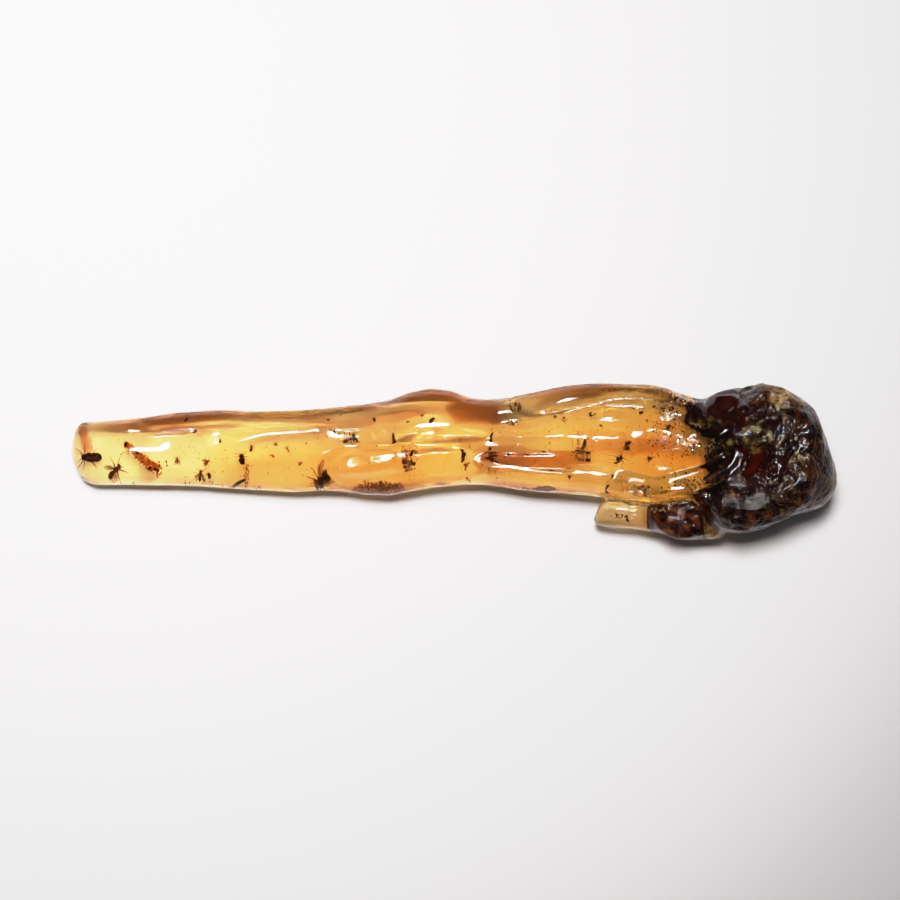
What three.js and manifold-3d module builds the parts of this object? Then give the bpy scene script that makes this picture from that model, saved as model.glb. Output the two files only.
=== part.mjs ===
// A drip of copal with insects and plant bits sealed in it, lying on a table.
// Millimetres, +Z up, +X from the cut end to the thick head, +Y to the far side.
// The origin is on the table, under the middle of the piece.
import * as THREE from "three";
import { mergeVertices } from "three/addons/utils/BufferGeometryUtils.js";
import Module from "manifold-3d";

const wasm = await Module();
wasm.setup();

// The resin, from the cut end to the head: x, far edge y, near edge y, crest z, belly z.
// Where the belly is below the table it is cut flat, which gives the two resting spots.
const RESIN_STATIONS = [
  [-120, 6.6, 0, 8, 1.8],
  [-118.8, 10.8, -2.6, 10.4, 0.9],
  [-116.9, 12.8, -5.6, 12.2, 0.2],
  [-113.1, 12.9, -7.2, 15.2, -0.3],
  [-105.8, 13.4, -7.2, 16.6, -0.5],
  [-96.4, 14.4, -7.4, 16.9, -0.5],
  [-86.9, 15.8, -7.5, 17.2, -0.5],
  [-77.5, 16.5, -7.9, 17.6, -0.5],
  [-68, 16.6, -8.5, 18.1, -0.5],
  [-58.6, 16.1, -9.1, 18.6, -0.4],
  [-49.1, 16.4, -9.6, 19.2, -0.1],
  [-41.3, 17, -9.1, 19.9, 0.3],
  [-34.3, 17.8, -9.3, 20.6, 0.5],
  [-27.1, 18.5, -10.4, 21.4, 0.7],
  [-19.8, 19.6, -10.6, 22.2, 0.9],
  [-12.9, 22.2, -9.4, 23, 1.1],
  [-6.6, 23.4, -8.2, 23.4, 1.2],
  [-0.3, 22.8, -7.6, 23.5, 1.3],
  [6, 20.4, -7.2, 23.3, 1.4],
  [14.5, 20.1, -7.7, 23.6, 1.4],
  [23.3, 21.4, -9.1, 24.6, 1.3],
  [32.1, 23.3, -9.8, 25.6, 1.2],
  [40.6, 24.6, -10.4, 26.6, 1],
  [49.1, 24.8, -11.4, 27.5, 0.8],
  [57, 24.6, -12.9, 28.2, 0.6],
  [62.7, 24.5, -13.3, 29, 0.4],
  [67.7, 23.4, -14, 30.2, 0.2],
  [72.8, 21.7, -15.4, 32.1, -0.3],
  [78.4, 19.8, -18.2, 34.4, -1],
  [84.1, 21, -21.2, 36, -1.6],
  [90.4, 22.4, -21.6, 37.2, -1.7],
  [97.3, 24.6, -20.6, 37.8, -1.6],
  [103, 23.3, -17.8, 37.4, -1.1],
  [108.7, 20.4, -15.8, 35.4, 0],
  [113.1, 16.8, -14.6, 32.2, 1.8],
  [116.5, 9.4, -12.9, 28, 4.2],
  [118.8, 1.8, -10, 23.5, 7.5],
  [120, -3.1, -6, 19.5, 11],
];
const RESIN_MESH = { step: 5, sides: 24 };
const SQUARENESS = 2.2; // exponent of the cross-sections: 2 is an ellipse
const CROWDING = 0.3; // how much closer the points of a section lie on top than below

// Flow marks: a path in plan, its height (a groove is below 0) and its half-width.
const UPPER_FLOWS = [
  { height: -2.2, width: 2.6, path: [[15, 11], [28, 13.2], [40.6, 16.4], [50, 18.6], [63, 18.3]] },
  { height: 1.2, width: 3.2, path: [[6, 6.3], [34, 6.9], [48.5, 6.6], [63, 8.2]] },
  { height: -1.4, width: 2, path: [[10, 3.6], [34, 2.2], [58, 0]] },
  { height: 1.5, width: 3.2, path: [[11, -0.6], [22, -1], [34, -3], [48.5, -5.5]] },
  { height: 2.2, width: 3.4, path: [[-35, -0.9], [-25, -0.3], [-13, 0.9], [1, 2.2]] },
  { height: -0.8, width: 1.8, path: [[-38, 4], [-24, 4.6], [-8, 5], [4, 5]] },
  { height: 1, width: 2.4, path: [[-20, 9], [-5.7, 9.4], [6, 8]] },
  { height: 0.8, width: 2, path: [[-92, 9.8], [-77, 10.4], [-60, 10], [-36, 11.4]] },
  { height: -1.1, width: 2, path: [[-95, 12], [-79, 13.6], [-60, 13], [-27, 14.6]] },
  { height: 2, width: 2.6, path: [[58, -8.5], [66, -8], [78, -6], [86, -3], [89, 2.2], [89, 10]] },
  { height: -1.6, width: 3, path: [[70, 12], [79, 6], [82, 0]] },
  { height: -1.2, width: 2.4, path: [[89, 24], [92, 17.5], [100, 13.5], [108, 15]] },
];
const LOWER_FLOWS = [
  { height: -0.8, width: 3, path: [[-40, 8], [-5, 10], [30, 12], [60, 12]] },
  { height: 0.5, width: 3.5, path: [[-30, -2], [5, 0], [45, -2], [64, -6]] },
];
// Flow marks fade in between these shares of the way from the side to the crest.
const FLOW_FADE = [0.1, 0.55];
// Lumps of the head: where they stand proud, their radius and height.
const HEAD_LUMPS = [
  { at: [83.5, 16, 26], radius: 5.5, height: 2.2 },
  { at: [100, 19, 31], radius: 5, height: 2.2 },
  { at: [110, 10, 31], radius: 5.5, height: 1.8 },
  { at: [106, -4, 35], radius: 5, height: 1.6 },
  { at: [104, -12.5, 29], radius: 5.5, height: 1.6 },
  { at: [91, -16.5, 28], radius: 5, height: 1.5 },
  { at: [96, 3, 38], radius: 5.5, height: 1.2 },
  { at: [116, -7, 20], radius: 4.5, height: 1 },
  { at: [88, -17, 18], radius: 5, height: 1.2 },
  { at: [98, 20, 8], radius: 6, height: 1.8 },
  { at: [106, -11, 7], radius: 6, height: 1.2 },
];

// The broken stub of a side drip, in the same columns, and how far its end slants. It
// runs on as a low shelf along the near side of the head.
const STUB_STATIONS = [
  [46, -13, -18.9, 14, 6.6],
  [47.6, -12, -20, 16, 4.4],
  [52, -11, -20.7, 17, 3.4],
  [59, -10.4, -21.3, 18, 3],
  [66, -10, -22.6, 19.4, 2.2],
  [72, -9.6, -24.6, 20.6, 1.2],
  [78, -9, -24.7, 21.6, 0.6],
  [84, -8, -23.6, 22.4, 0.6],
  [90, -8, -20.5, 22, 2.5],
];
const STUB_MESH = { step: 8, sides: 12 };
const STUB_SLANT = 0.45;
const STUB_SLANT_RANGE = [46, 66]; // x between which it fades out
const STUB_MIDDLE_Y = -16;

// The sheet on which the clear resin is parted, through every sealed thing: x, z.
const PARTING_STATIONS = [
  [-124, 6.5],
  [-112.8, 7.5],
  [-98, 9],
  [-79, 10.5],
  [-66, 8.5],
  [-52, 8.8],
  [-39.7, 9.8],
  [-31.8, 12],
  [-17.3, 13.6],
  [0, 13.6],
  [13.2, 13.4],
  [29.6, 14],
  [42.2, 15.4],
  [52, 15.2],
  [62, 15.4],
  [73, 15.8],
  [88, 16],
  [105, 16.5],
  [124, 15],
];
const PARTING_STEP = 9;
const PARTING_GAP = 0.3;
const CUTTER_REACH = 60; // past the resin on every side

// Dark debris in the head, under a clear skin: centre and radii of each lobe.
const SKIN = 2;
const POCKET_GAP = 0.4; // room round every sealed thing
const HEAD_LOBES = [
  { centre: [105, -2, 18], radii: [21.5, 28, 24] },
  { centre: [86, 16, 20], radii: [8.5, 7.5, 15] },
];
const CLUMP_LOBES = [{ centre: [72, -17.4, 11.5], radii: [8, 7.4, 10] }];
const DEBRIS_MESH = { step: 8, sides: 14 };
const LOBE_MESH = [10, 6];

// Body plans of the animals, as shares of the body length along the heading:
// middle, half-length, half-width and half-height of each segment.
const BODY_PLANS = {
  fly: [[0.4, 0.11, 0.12, 0.11], [0.16, 0.2, 0.14, 0.15], [-0.24, 0.27, 0.12, 0.11]],
  beetle: [[0.4, 0.11, 0.11, 0.09], [0.22, 0.14, 0.18, 0.13], [-0.16, 0.35, 0.22, 0.17]],
  ant: [[0.38, 0.14, 0.11, 0.1], [0.08, 0.21, 0.08, 0.08], [-0.28, 0.23, 0.14, 0.13]],
  bee: [[0.38, 0.12, 0.17, 0.13], [0.14, 0.19, 0.2, 0.19], [-0.22, 0.28, 0.19, 0.17]],
  spider: [[0.24, 0.22, 0.17, 0.12], [-0.18, 0.32, 0.25, 0.22]],
};
const SEGMENT_FULLNESS = 1.1; // makes up for the flat faces
const POCKET_MESH = [6, 4];

// The animals: plan place, heading in degrees, body length, legs on each side, how far
// they reach from the middle line as a share of the length, and wings as a share of it.
const ANIMALS = [
  { name: "beetle_at_cut_end", plan: "beetle", at: [-112.4, 1.6], heading: 178, length: 5.6, reach: 0.42 },
  {
    name: "fly_near_cut_end",
    plan: "fly",
    at: [-106.5, -2.2],
    heading: 35,
    length: 4.6,
    reach: 0.45,
    wing: 0.55,
  },
  { name: "midge", plan: "fly", at: [-79.1, -3.6], heading: 80, length: 3.2, reach: 0.6, wing: 0.5 },
  { name: "oval_bug", plan: "beetle", at: [-65.8, 1.3], heading: 95, length: 3.8, reach: 0.4 },
  { name: "black_bee", plan: "bee", at: [-39.6, -3.2], heading: 212, length: 6.4, reach: 0.5, wing: 0.5 },
  { name: "ant", plan: "ant", at: [-31.8, 7], heading: 18, length: 4.2, reach: 0.45 },
  { name: "winged_ant", plan: "ant", at: [-13, 0.8], heading: 10, length: 3.8, reach: 0.5, wing: 0.7 },
  { name: "moth", plan: "fly", at: [13.2, 2.8], heading: 165, length: 4.8, reach: 0.35, wing: 0.8 },
  { name: "wasp", plan: "ant", at: [42.2, 3.8], heading: 340, length: 5, reach: 0.45, wing: 0.75 },
  { name: "spider", plan: "spider", at: [52, 2.2], heading: 30, length: 2.6, reach: 0.9, legs: 4 },
];
const LEG_FAN = [40, 140]; // degrees from the heading to the first and last leg
const LEG_THICKNESS = 0.035;
const LEG_KNEE = { share: 0.55, rise: 0.1 };
const LEG_DROP = 0.14;
const LEG_ROOT = 0.4; // of the chest below its middle
const WING_SWEEP = 145;
const WING_WIDTH = 0.16;
const WING_THICKNESS = 0.03;
const WING_HEIGHT = 0.3; // of the chest above its middle
const WING_MESH = [6, 2];

// Plant bits: a string of bark crumbs, a splinter of wood and a flake of leaf.
const CRUMBS = {
  name: "bark_crumb_string",
  at: [-97.6, 1.6],
  heading: 327,
  beads: [
    [-5.3, 0.2, 0.9],
    [-3.8, -0.3, 1.1],
    [-2.1, 0.2, 1.3],
    [0, -0.2, 1.6],
    [2.2, 0.3, 1.9],
    [4.2, -0.4, 1.6],
  ],
  thread: { halfLength: 6, thickness: 0.5 },
};
const SPLINTER = {
  name: "wood_splinter",
  at: [-67.2, -4.6],
  heading: 20,
  thickness: 0.45,
  bends: [-2.7, -1.35, 0.9, 2.7],
};
const FLAKE = {
  name: "leaf_flake",
  at: [29.6, -5.8],
  heading: 8,
  thickness: 0.5,
  outline: [[-4.2, -0.4], [-1.6, -1.4], [1.8, -1.1], [4.1, 0.3], [1.4, 1.2], [-0.6, 0.7], [-2.8, 1.1]],
};

const CLEAR = { color: "#e9a12c", roughness: 0.05, transparent: true, opacity: 0.5 };
const SEALED_ROUGHNESS = 0.6;
const COLOURS = { debris: "#2b120b", animal: "#24130a", plant: "#7a3410" };

// Values between stations, smooth along x.
function alongX(stations) {
  const columns = stations[0].length - 1;
  const places = stations.map((station) => station[0]);
  const values = stations.flatMap((station) => station.slice(1));
  const curve = new THREE.CubicInterpolant(places, values, columns, new Array(columns));
  return (x) => [...curve.evaluate(x)];
}

const partingHeight = alongX(PARTING_STATIONS);

// A power that keeps the sign, for superellipse sections.
function signedPower(value, power) {
  return Math.sign(value) * Math.abs(value) ** power;
}

// The x of every cross-section: each span between stations in equal parts of about one step.
function sectionPlaces(stations, step) {
  const places = [stations[0][0]];
  for (let i = 1; i < stations.length; i++) {
    const start = stations[i - 1][0];
    const end = stations[i][0];
    const parts = Math.max(1, Math.round((end - start) / step));
    for (let k = 1; k <= parts; k++) places.push(THREE.MathUtils.lerp(start, end, k / parts));
  }
  return places;
}

// A closed body through superellipse sections. grow moves its whole surface outwards, and
// shape(point, middle, upness) changes a surface point, where upness is 1 on top and -1 below.
function loft(stations, { step, sides }, grow = 0, shape = () => {}) {
  const profile = alongX(stations);
  const places = sectionPlaces(stations, step);
  const half = (places.at(-1) - places[0]) / 2;
  const centreX = places[0] + half;
  const positions = [];
  const index = [];
  const middles = [];
  for (const x of places) {
    const [far, near, crest, belly] = profile(x);
    const placeX = centreX + ((x - centreX) * (half + grow)) / half;
    const middle = new THREE.Vector3(placeX, (far + near) / 2, (crest + belly) / 2);
    middles.push(middle);
    for (let j = 0; j < sides; j++) {
      const turn = (2 * Math.PI * j) / sides;
      const angle = turn + CROWDING * Math.cos(turn);
      const upness = Math.sin(angle);
      const point = middle.clone();
      point.y += ((far - near) / 2 + grow) * signedPower(Math.cos(angle), 2 / SQUARENESS);
      point.z += ((crest - belly) / 2 + grow) * signedPower(upness, 2 / SQUARENESS);
      shape(point, middle, upness);
      positions.push(...point.toArray());
    }
  }
  const rings = places.length;
  const firstCap = rings * sides;
  positions.push(...middles[0].toArray(), ...middles.at(-1).toArray());
  for (let j = 0; j < sides; j++) {
    const next = (j + 1) % sides;
    for (let i = 0; i < rings - 1; i++) {
      const here = i * sides;
      const there = here + sides;
      index.push(here + j, here + next, there + j, here + next, there + next, there + j);
    }
    const last = (rings - 1) * sides;
    index.push(firstCap, next, j, firstCap + 1, last + j, last + next);
  }
  const geometry = new THREE.BufferGeometry();
  geometry.setAttribute("position", new THREE.Float32BufferAttribute(positions, 3));
  geometry.setIndex(index);
  return geometry;
}

// A geometry as a solid that can be joined and cut.
function solidOf(geometry) {
  const bare = new THREE.BufferGeometry();
  bare.setAttribute("position", geometry.getAttribute("position"));
  bare.setIndex(geometry.index);
  const merged = mergeVertices(bare);
  const vertProperties = merged.getAttribute("position").array;
  const triVerts = new Uint32Array(merged.index.array);
  return new wasm.Manifold(new wasm.Mesh({ numProp: 3, vertProperties, triVerts }));
}

// A solid as a geometry that can be drawn.
function geometryOf(solid) {
  const mesh = solid.getMesh();
  const geometry = new THREE.BufferGeometry();
  geometry.setAttribute("position", new THREE.BufferAttribute(mesh.vertProperties, 3));
  geometry.setIndex(new THREE.BufferAttribute(mesh.triVerts, 1));
  geometry.computeVertexNormals();
  return geometry;
}

function joined(solids) {
  return solids.reduce((all, solid) => all.add(solid));
}

// An ellipsoid of a few flat faces.
function ellipsoid(centre, radii, [around, down]) {
  const geometry = new THREE.SphereGeometry(1, around, down);
  geometry.scale(...radii);
  geometry.translate(...centre);
  return geometry;
}

// The shortest way in plan from a point to a path.
function distanceInPlan(point, path) {
  const flat = new THREE.Vector3(point.x, point.y, 0);
  const nearest = new THREE.Vector3();
  let distance = Infinity;
  for (let i = 1; i < path.length; i++) {
    const start = new THREE.Vector3(...path[i - 1], 0);
    const end = new THREE.Vector3(...path[i], 0);
    new THREE.Line3(start, end).closestPointToPoint(flat, true, nearest);
    distance = Math.min(distance, nearest.distanceTo(flat));
  }
  return distance;
}

function bell(distance, width) {
  return Math.exp(-((distance / width) ** 2));
}

// Flow marks, head lumps and the flat resting spots.
function shapeResin(point, middle, upness) {
  const flows = upness > 0 ? UPPER_FLOWS : LOWER_FLOWS;
  const onFace = THREE.MathUtils.smoothstep(Math.abs(upness), ...FLOW_FADE);
  const relief = flows.reduce(
    (sum, flow) => sum + flow.height * bell(distanceInPlan(point, flow.path), flow.width),
    0,
  );
  const outward = point.clone().sub(middle).normalize();
  const swelling = HEAD_LUMPS.reduce(
    (sum, lump) => sum + lump.height * bell(point.distanceTo(new THREE.Vector3(...lump.at)), lump.radius),
    0,
  );
  point.z += Math.sign(upness) * onFace * relief;
  point.addScaledVector(outward, swelling);
  point.z = Math.max(point.z, 0);
}

// The slant of the stub's broken end, which fades out along it.
function slantStub(point) {
  const [first, last] = STUB_SLANT_RANGE;
  const fading = 1 - THREE.MathUtils.smoothstep(point.x, first, last);
  point.x += STUB_SLANT * fading * (point.y - STUB_MIDDLE_Y);
}

function makeResin() {
  const main = loft(RESIN_STATIONS, RESIN_MESH, 0, shapeResin);
  const stub = loft(STUB_STATIONS, STUB_MESH, 0, slantStub);
  return solidOf(main).add(solidOf(stub));
}

// Everything above (side 1) or below (side -1) the parting sheet.
function partingCutter(side) {
  const first = PARTING_STATIONS[0][0];
  const last = PARTING_STATIONS.at(-1)[0];
  const steps = Math.round((last - first) / PARTING_STEP);
  const outline = [];
  for (let i = 0; i <= steps; i++) {
    const x = THREE.MathUtils.lerp(first, last, i / steps);
    outline.push(new THREE.Vector2(x, partingHeight(x)[0] - (side * PARTING_GAP) / 2));
  }
  outline.push(new THREE.Vector2(last, side * CUTTER_REACH), new THREE.Vector2(first, side * CUTTER_REACH));
  const options = { depth: 2 * CUTTER_REACH, bevelEnabled: false };
  const geometry = new THREE.ExtrudeGeometry(new THREE.Shape(outline), options);
  geometry.translate(0, 0, -CUTTER_REACH);
  geometry.rotateX(Math.PI / 2);
  return solidOf(geometry);
}

// Debris lobes kept under the skin of a run of resin. With grow it gives the pocket round them.
function makeDebris(lobes, stations, grow = 0) {
  const inner = solidOf(loft(stations, DEBRIS_MESH, grow - SKIN));
  const parts = lobes.map(({ centre, radii }) =>
    solidOf(ellipsoid(centre, radii.map((radius) => radius + grow), LOBE_MESH)),
  );
  return joined(parts).intersect(inner);
}

// A closed spindle from start to end, with a three-sided ring round each point between.
function spindle(points, thickness) {
  const inner = points.slice(1, -1);
  const rings = inner.flatMap((point) => ringRound(point, points, thickness));
  const positions = [points[0], ...rings, points.at(-1)];
  const end = positions.length - 1;
  const index = [];
  for (let k = 0; k < 3; k++) {
    const next = (k + 1) % 3;
    index.push(0, 1 + next, 1 + k);
    for (let i = 1; i < inner.length; i++) {
      const here = 1 + 3 * (i - 1);
      const there = here + 3;
      index.push(here + k, here + next, there + k, here + next, there + next, there + k);
    }
    index.push(end, end - 3 + k, end - 3 + next);
  }
  const geometry = new THREE.BufferGeometry();
  geometry.setFromPoints(positions);
  geometry.setIndex(index);
  return geometry;
}

// Three points round one, square to the way from the first to the last of all points.
function ringRound(point, points, thickness) {
  const along = points.at(-1).clone().sub(points[0]).normalize();
  const side = new THREE.Vector3(0, 0, 1).cross(along).normalize();
  return [0, 1, 2].map((k) =>
    side.clone().multiplyScalar(thickness).applyAxisAngle(along, (2 * Math.PI * k) / 3).add(point),
  );
}

// A direction in plan, degrees from the heading.
function planDirection(degrees) {
  const angle = THREE.MathUtils.degToRad(degrees);
  return new THREE.Vector3(Math.cos(angle), Math.sin(angle), 0);
}

// Middle and half-height of the segment that carries the limbs, the last but one.
function chestOf(plan) {
  const [middle, , , halfHeight] = BODY_PLANS[plan].at(-2);
  return [middle, halfHeight];
}

function makeLegs({ plan, length, reach, legs = 3 }) {
  const [middle, halfHeight] = chestOf(plan);
  const root = new THREE.Vector3(middle * length, 0, -halfHeight * length * LEG_ROOT);
  const parts = [];
  for (const side of [-1, 1])
    for (let i = 0; i < legs; i++) {
      const turn = THREE.MathUtils.lerp(...LEG_FAN, i / (legs - 1));
      const out = planDirection(side * turn).multiplyScalar(reach * length);
      const knee = root.clone().addScaledVector(out, LEG_KNEE.share);
      knee.z += LEG_KNEE.rise * length;
      const foot = root.clone().add(out);
      foot.z -= LEG_DROP * length;
      parts.push(solidOf(spindle([root, knee, foot], LEG_THICKNESS * length)));
    }
  return parts;
}

// Two flat wings, from the top of the chest outwards and back.
function makeWings({ plan, length, wing }) {
  if (!wing) return [];
  const [middle, halfHeight] = chestOf(plan);
  return [-1, 1].map((side) => {
    const blade = new THREE.SphereGeometry(1, ...WING_MESH);
    blade.rotateX(Math.PI / 2);
    blade.scale((wing * length) / 2, WING_WIDTH * length, WING_THICKNESS * length);
    blade.translate((wing * length) / 2, 0, 0);
    blade.rotateZ(THREE.MathUtils.degToRad(side * WING_SWEEP));
    blade.translate(middle * length, 0, halfHeight * length * WING_HEIGHT);
    return solidOf(blade);
  });
}

// An animal in its own frame: heading along +X, its middle at the origin.
function makeAnimal(animal) {
  const segments = BODY_PLANS[animal.plan].map(([middle, ...halves]) => {
    const segment = new THREE.IcosahedronGeometry(SEGMENT_FULLNESS, 0);
    segment.scale(...halves.map((half) => half * animal.length));
    segment.translate(middle * animal.length, 0, 0);
    return solidOf(segment);
  });
  return joined([...segments, ...makeLegs(animal), ...makeWings(animal)]);
}

// Crumbs of bark along the thread that carries them.
function makeCrumbs() {
  const beads = CRUMBS.beads.map(([x, y, radius]) => {
    const bead = new THREE.OctahedronGeometry(radius, 0);
    bead.translate(x, y, 0);
    return solidOf(bead);
  });
  const { halfLength, thickness } = CRUMBS.thread;
  const points = [-halfLength, 0, halfLength].map((x) => new THREE.Vector3(x, 0, 0));
  return joined([...beads, solidOf(spindle(points, thickness))]);
}

function makeSplinter() {
  const points = SPLINTER.bends.map((x) => new THREE.Vector3(x, 0, 0));
  return solidOf(spindle(points, SPLINTER.thickness));
}

function makeFlake() {
  const outline = FLAKE.outline.map((corner) => new THREE.Vector2(...corner));
  const options = { depth: FLAKE.thickness, bevelEnabled: false };
  const geometry = new THREE.ExtrudeGeometry(new THREE.Shape(outline), options);
  geometry.translate(0, 0, -FLAKE.thickness / 2);
  return solidOf(geometry);
}

// The smallest faceted ellipsoid of a solid's own proportions that clears it by the gap.
function pocketRound(solid) {
  const bounds = solid.boundingBox();
  const box = new THREE.Box3(new THREE.Vector3(...bounds.min), new THREE.Vector3(...bounds.max));
  const centre = box.getCenter(new THREE.Vector3());
  const halves = box.getSize(new THREE.Vector3()).divideScalar(2);
  const vertices = new THREE.BufferAttribute(solid.getMesh().vertProperties, 3);
  const planes = facePlanes(ellipsoid([0, 0, 0], [1, 1, 1], POCKET_MESH));
  let stretch = 0;
  for (let i = 0; i < vertices.count; i++) {
    const share = new THREE.Vector3().fromBufferAttribute(vertices, i).sub(centre).divide(halves);
    for (const { normal, constant } of planes) stretch = Math.max(stretch, normal.dot(share) / -constant);
  }
  const flattening = Math.min(...planes.map(({ constant }) => -constant));
  const radii = halves.toArray().map((half) => half * stretch + POCKET_GAP / flattening);
  return solidOf(ellipsoid(centre.toArray(), radii, POCKET_MESH));
}

// The planes of a convex geometry's faces.
function facePlanes(geometry) {
  const vertices = geometry.toNonIndexed().getAttribute("position");
  const corner = (i) => new THREE.Vector3().fromBufferAttribute(vertices, i);
  const planes = [];
  for (let i = 0; i < vertices.count; i += 3)
    planes.push(new THREE.Plane().setFromCoplanarPoints(corner(i), corner(i + 1), corner(i + 2)));
  return planes;
}

// A sealed thing made in its own frame, turned to its heading and set on the parting sheet.
function seal({ name, at, heading }, solid, colour) {
  const place = (shape) => shape.rotate([0, 0, heading]).translate([...at, partingHeight(at[0])[0]]);
  return { name, solid: place(solid), pocket: place(pocketRound(solid)), colour };
}

function makeSealedThings() {
  return [
    {
      name: "bark_and_soil_lump",
      solid: makeDebris(HEAD_LOBES, RESIN_STATIONS),
      pocket: makeDebris(HEAD_LOBES, RESIN_STATIONS, POCKET_GAP),
      colour: COLOURS.debris,
    },
    {
      name: "soil_clump",
      solid: makeDebris(CLUMP_LOBES, STUB_STATIONS),
      pocket: makeDebris(CLUMP_LOBES, STUB_STATIONS, POCKET_GAP),
      colour: COLOURS.debris,
    },
    ...ANIMALS.map((animal) => seal(animal, makeAnimal(animal), COLOURS.animal)),
    seal(CRUMBS, makeCrumbs(), COLOURS.plant),
    seal(SPLINTER, makeSplinter(), COLOURS.plant),
    seal(FLAKE, makeFlake(), COLOURS.plant),
  ];
}

function addMesh(group, name, solid, options) {
  const material = new THREE.MeshStandardMaterial({ metalness: 0, ...options });
  const mesh = new THREE.Mesh(geometryOf(solid), material);
  mesh.name = name;
  group.add(mesh);
}

// How far the group moves so that its origin is on the table, under the middle of the resin.
function shiftToOrigin(solid) {
  const { min, max } = solid.boundingBox();
  return [-(min[0] + max[0]) / 2, -(min[1] + max[1]) / 2, -min[2]];
}

const copal = new THREE.Group();
const sealedThings = makeSealedThings();
const resin = sealedThings.reduce((rest, { pocket }) => rest.subtract(pocket), makeResin());
copal.position.set(...shiftToOrigin(resin));
addMesh(copal, "copal_upper", resin.subtract(partingCutter(-1)), CLEAR);
addMesh(copal, "copal_lower", resin.subtract(partingCutter(1)), CLEAR);
for (const { name, solid, colour } of sealedThings)
  addMesh(copal, name, solid, { color: colour, roughness: SEALED_ROUGHNESS });

export default copal;
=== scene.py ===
"""A drip of copal with insects sealed in it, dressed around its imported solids.

The frame is in metres with +X along the drip and +Z up. Shapes below are worked out in millimetres
and turned into metres when a mesh is made.
"""

import math

import bpy
import numpy as np
from mathutils import Matrix, Vector, noise
from mathutils.bvhtree import BVHTree


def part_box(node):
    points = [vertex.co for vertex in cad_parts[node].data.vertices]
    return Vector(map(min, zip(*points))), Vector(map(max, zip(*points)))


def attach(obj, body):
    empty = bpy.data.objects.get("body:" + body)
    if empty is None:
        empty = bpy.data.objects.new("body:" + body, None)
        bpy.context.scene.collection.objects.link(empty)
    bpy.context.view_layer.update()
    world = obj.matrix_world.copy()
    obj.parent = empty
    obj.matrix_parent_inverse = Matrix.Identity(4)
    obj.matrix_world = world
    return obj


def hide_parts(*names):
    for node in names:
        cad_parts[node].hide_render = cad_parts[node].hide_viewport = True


MM = 0.001
SEED = 20
WORLD_UP = np.array([0.0, 0.0, 1.0])

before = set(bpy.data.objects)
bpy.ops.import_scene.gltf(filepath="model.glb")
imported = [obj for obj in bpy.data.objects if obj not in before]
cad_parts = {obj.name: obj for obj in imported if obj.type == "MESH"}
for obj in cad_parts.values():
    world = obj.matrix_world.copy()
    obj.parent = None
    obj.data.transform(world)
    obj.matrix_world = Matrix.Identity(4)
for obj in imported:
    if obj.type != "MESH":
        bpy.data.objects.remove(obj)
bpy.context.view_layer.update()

# Camera and studio

PHOTO_CENTRE = (-0.3, 3.63)
PHOTO_WIDTH = 283.5
PHOTO_PLANE = 15.0
CAMERA_DISTANCE = 1200.0
SENSOR = 36.0
KEY_PLACE = (-110.0, 375.0, 1500.0)
KEY_AIM = (-120.0, 110.0, 0.0)
KEY_SIZE = (430.0, 390.0)
KEY_WATTS = 1.42
KEY_SPREAD = 32.0
DOME_ZENITH = 0.045
DOME_HORIZON = 0.08
INDIRECT_CLAMP = 0.0
GLASS_BOUNCES = 24
FLOOR_SIZE = 9000.0
TONE_WHITE = 2.0

# Tone curve: scene light as a share of TONE_WHITE, then the light of the picture.

TONE_CURVE = [(0.025, 0.04), (0.125, 0.25), (0.25, 0.57), (0.36, 0.80), (0.5, 0.875), (0.65, 0.93)]
TONE_RED = [(0.40, 0.42), (0.75, 0.80), (0.885, 0.887)]
FLOOR_WHITE = (0.94, 0.94, 0.945)

# Resin

RESIN_IOR = 1.54
RESIN_TINT = (0.998, 0.775, 0.20, 1.0)
RESIN_DENSITY = 52.0
CLOSING_VOXEL = 0.8
FINE_VOXEL = 0.52
FACET_SMOOTHING = 34
FINE_SMOOTHING = 6
TONGUE_SMOOTHING = 3
CORNER_ROUNDS = 2
FLOOR_GAP = 0.06
SHOULDER = 3.0
LOW_SHOULDER = 1.2
SHAFT_SHOULDER = 0.7
CRISPNESS = 0.8
RESIN_ROUGHNESS = 0.12
LUMPY_ROUGHNESS = 0.06
PIT_DEPTH = 1.9
PLAIN_GLOSS = 0.5
LUMPY_GLOSS = 0.05
CLUMP_GLOSS = 0.005
UNDERSIDE_ROUGHNESS = 0.5
RIPPLE_SHARE = 0.14
RIPPLE_DEPTH = 0.0003

# Relief of the skin: size and height of its noise in millimetres, on the shaft and on the lumpy parts.

SHAFT_FLOW = (5.0, 0.16)
SHAFT_DENTS = (4.0, 0.05)
COARSE_LUMPS = (6.0, 0.35)
FINE_LUMPS = (1.9, 0.24)
RUGGED_LUMPS = (3.2, 0.45)
RUGGED_ZONES = [((92.6, -12.8), (10.0, 4.6), 6.0)]
SMOOTH_ZONES = [((80.0, 1.0), (11.0, 9.5), 0.0), ((85.0, 17.5), (9.0, 7.5), 10.0)]

# Strokes on the top face: path in millimetres, half width, height. Below zero is a groove.

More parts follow.
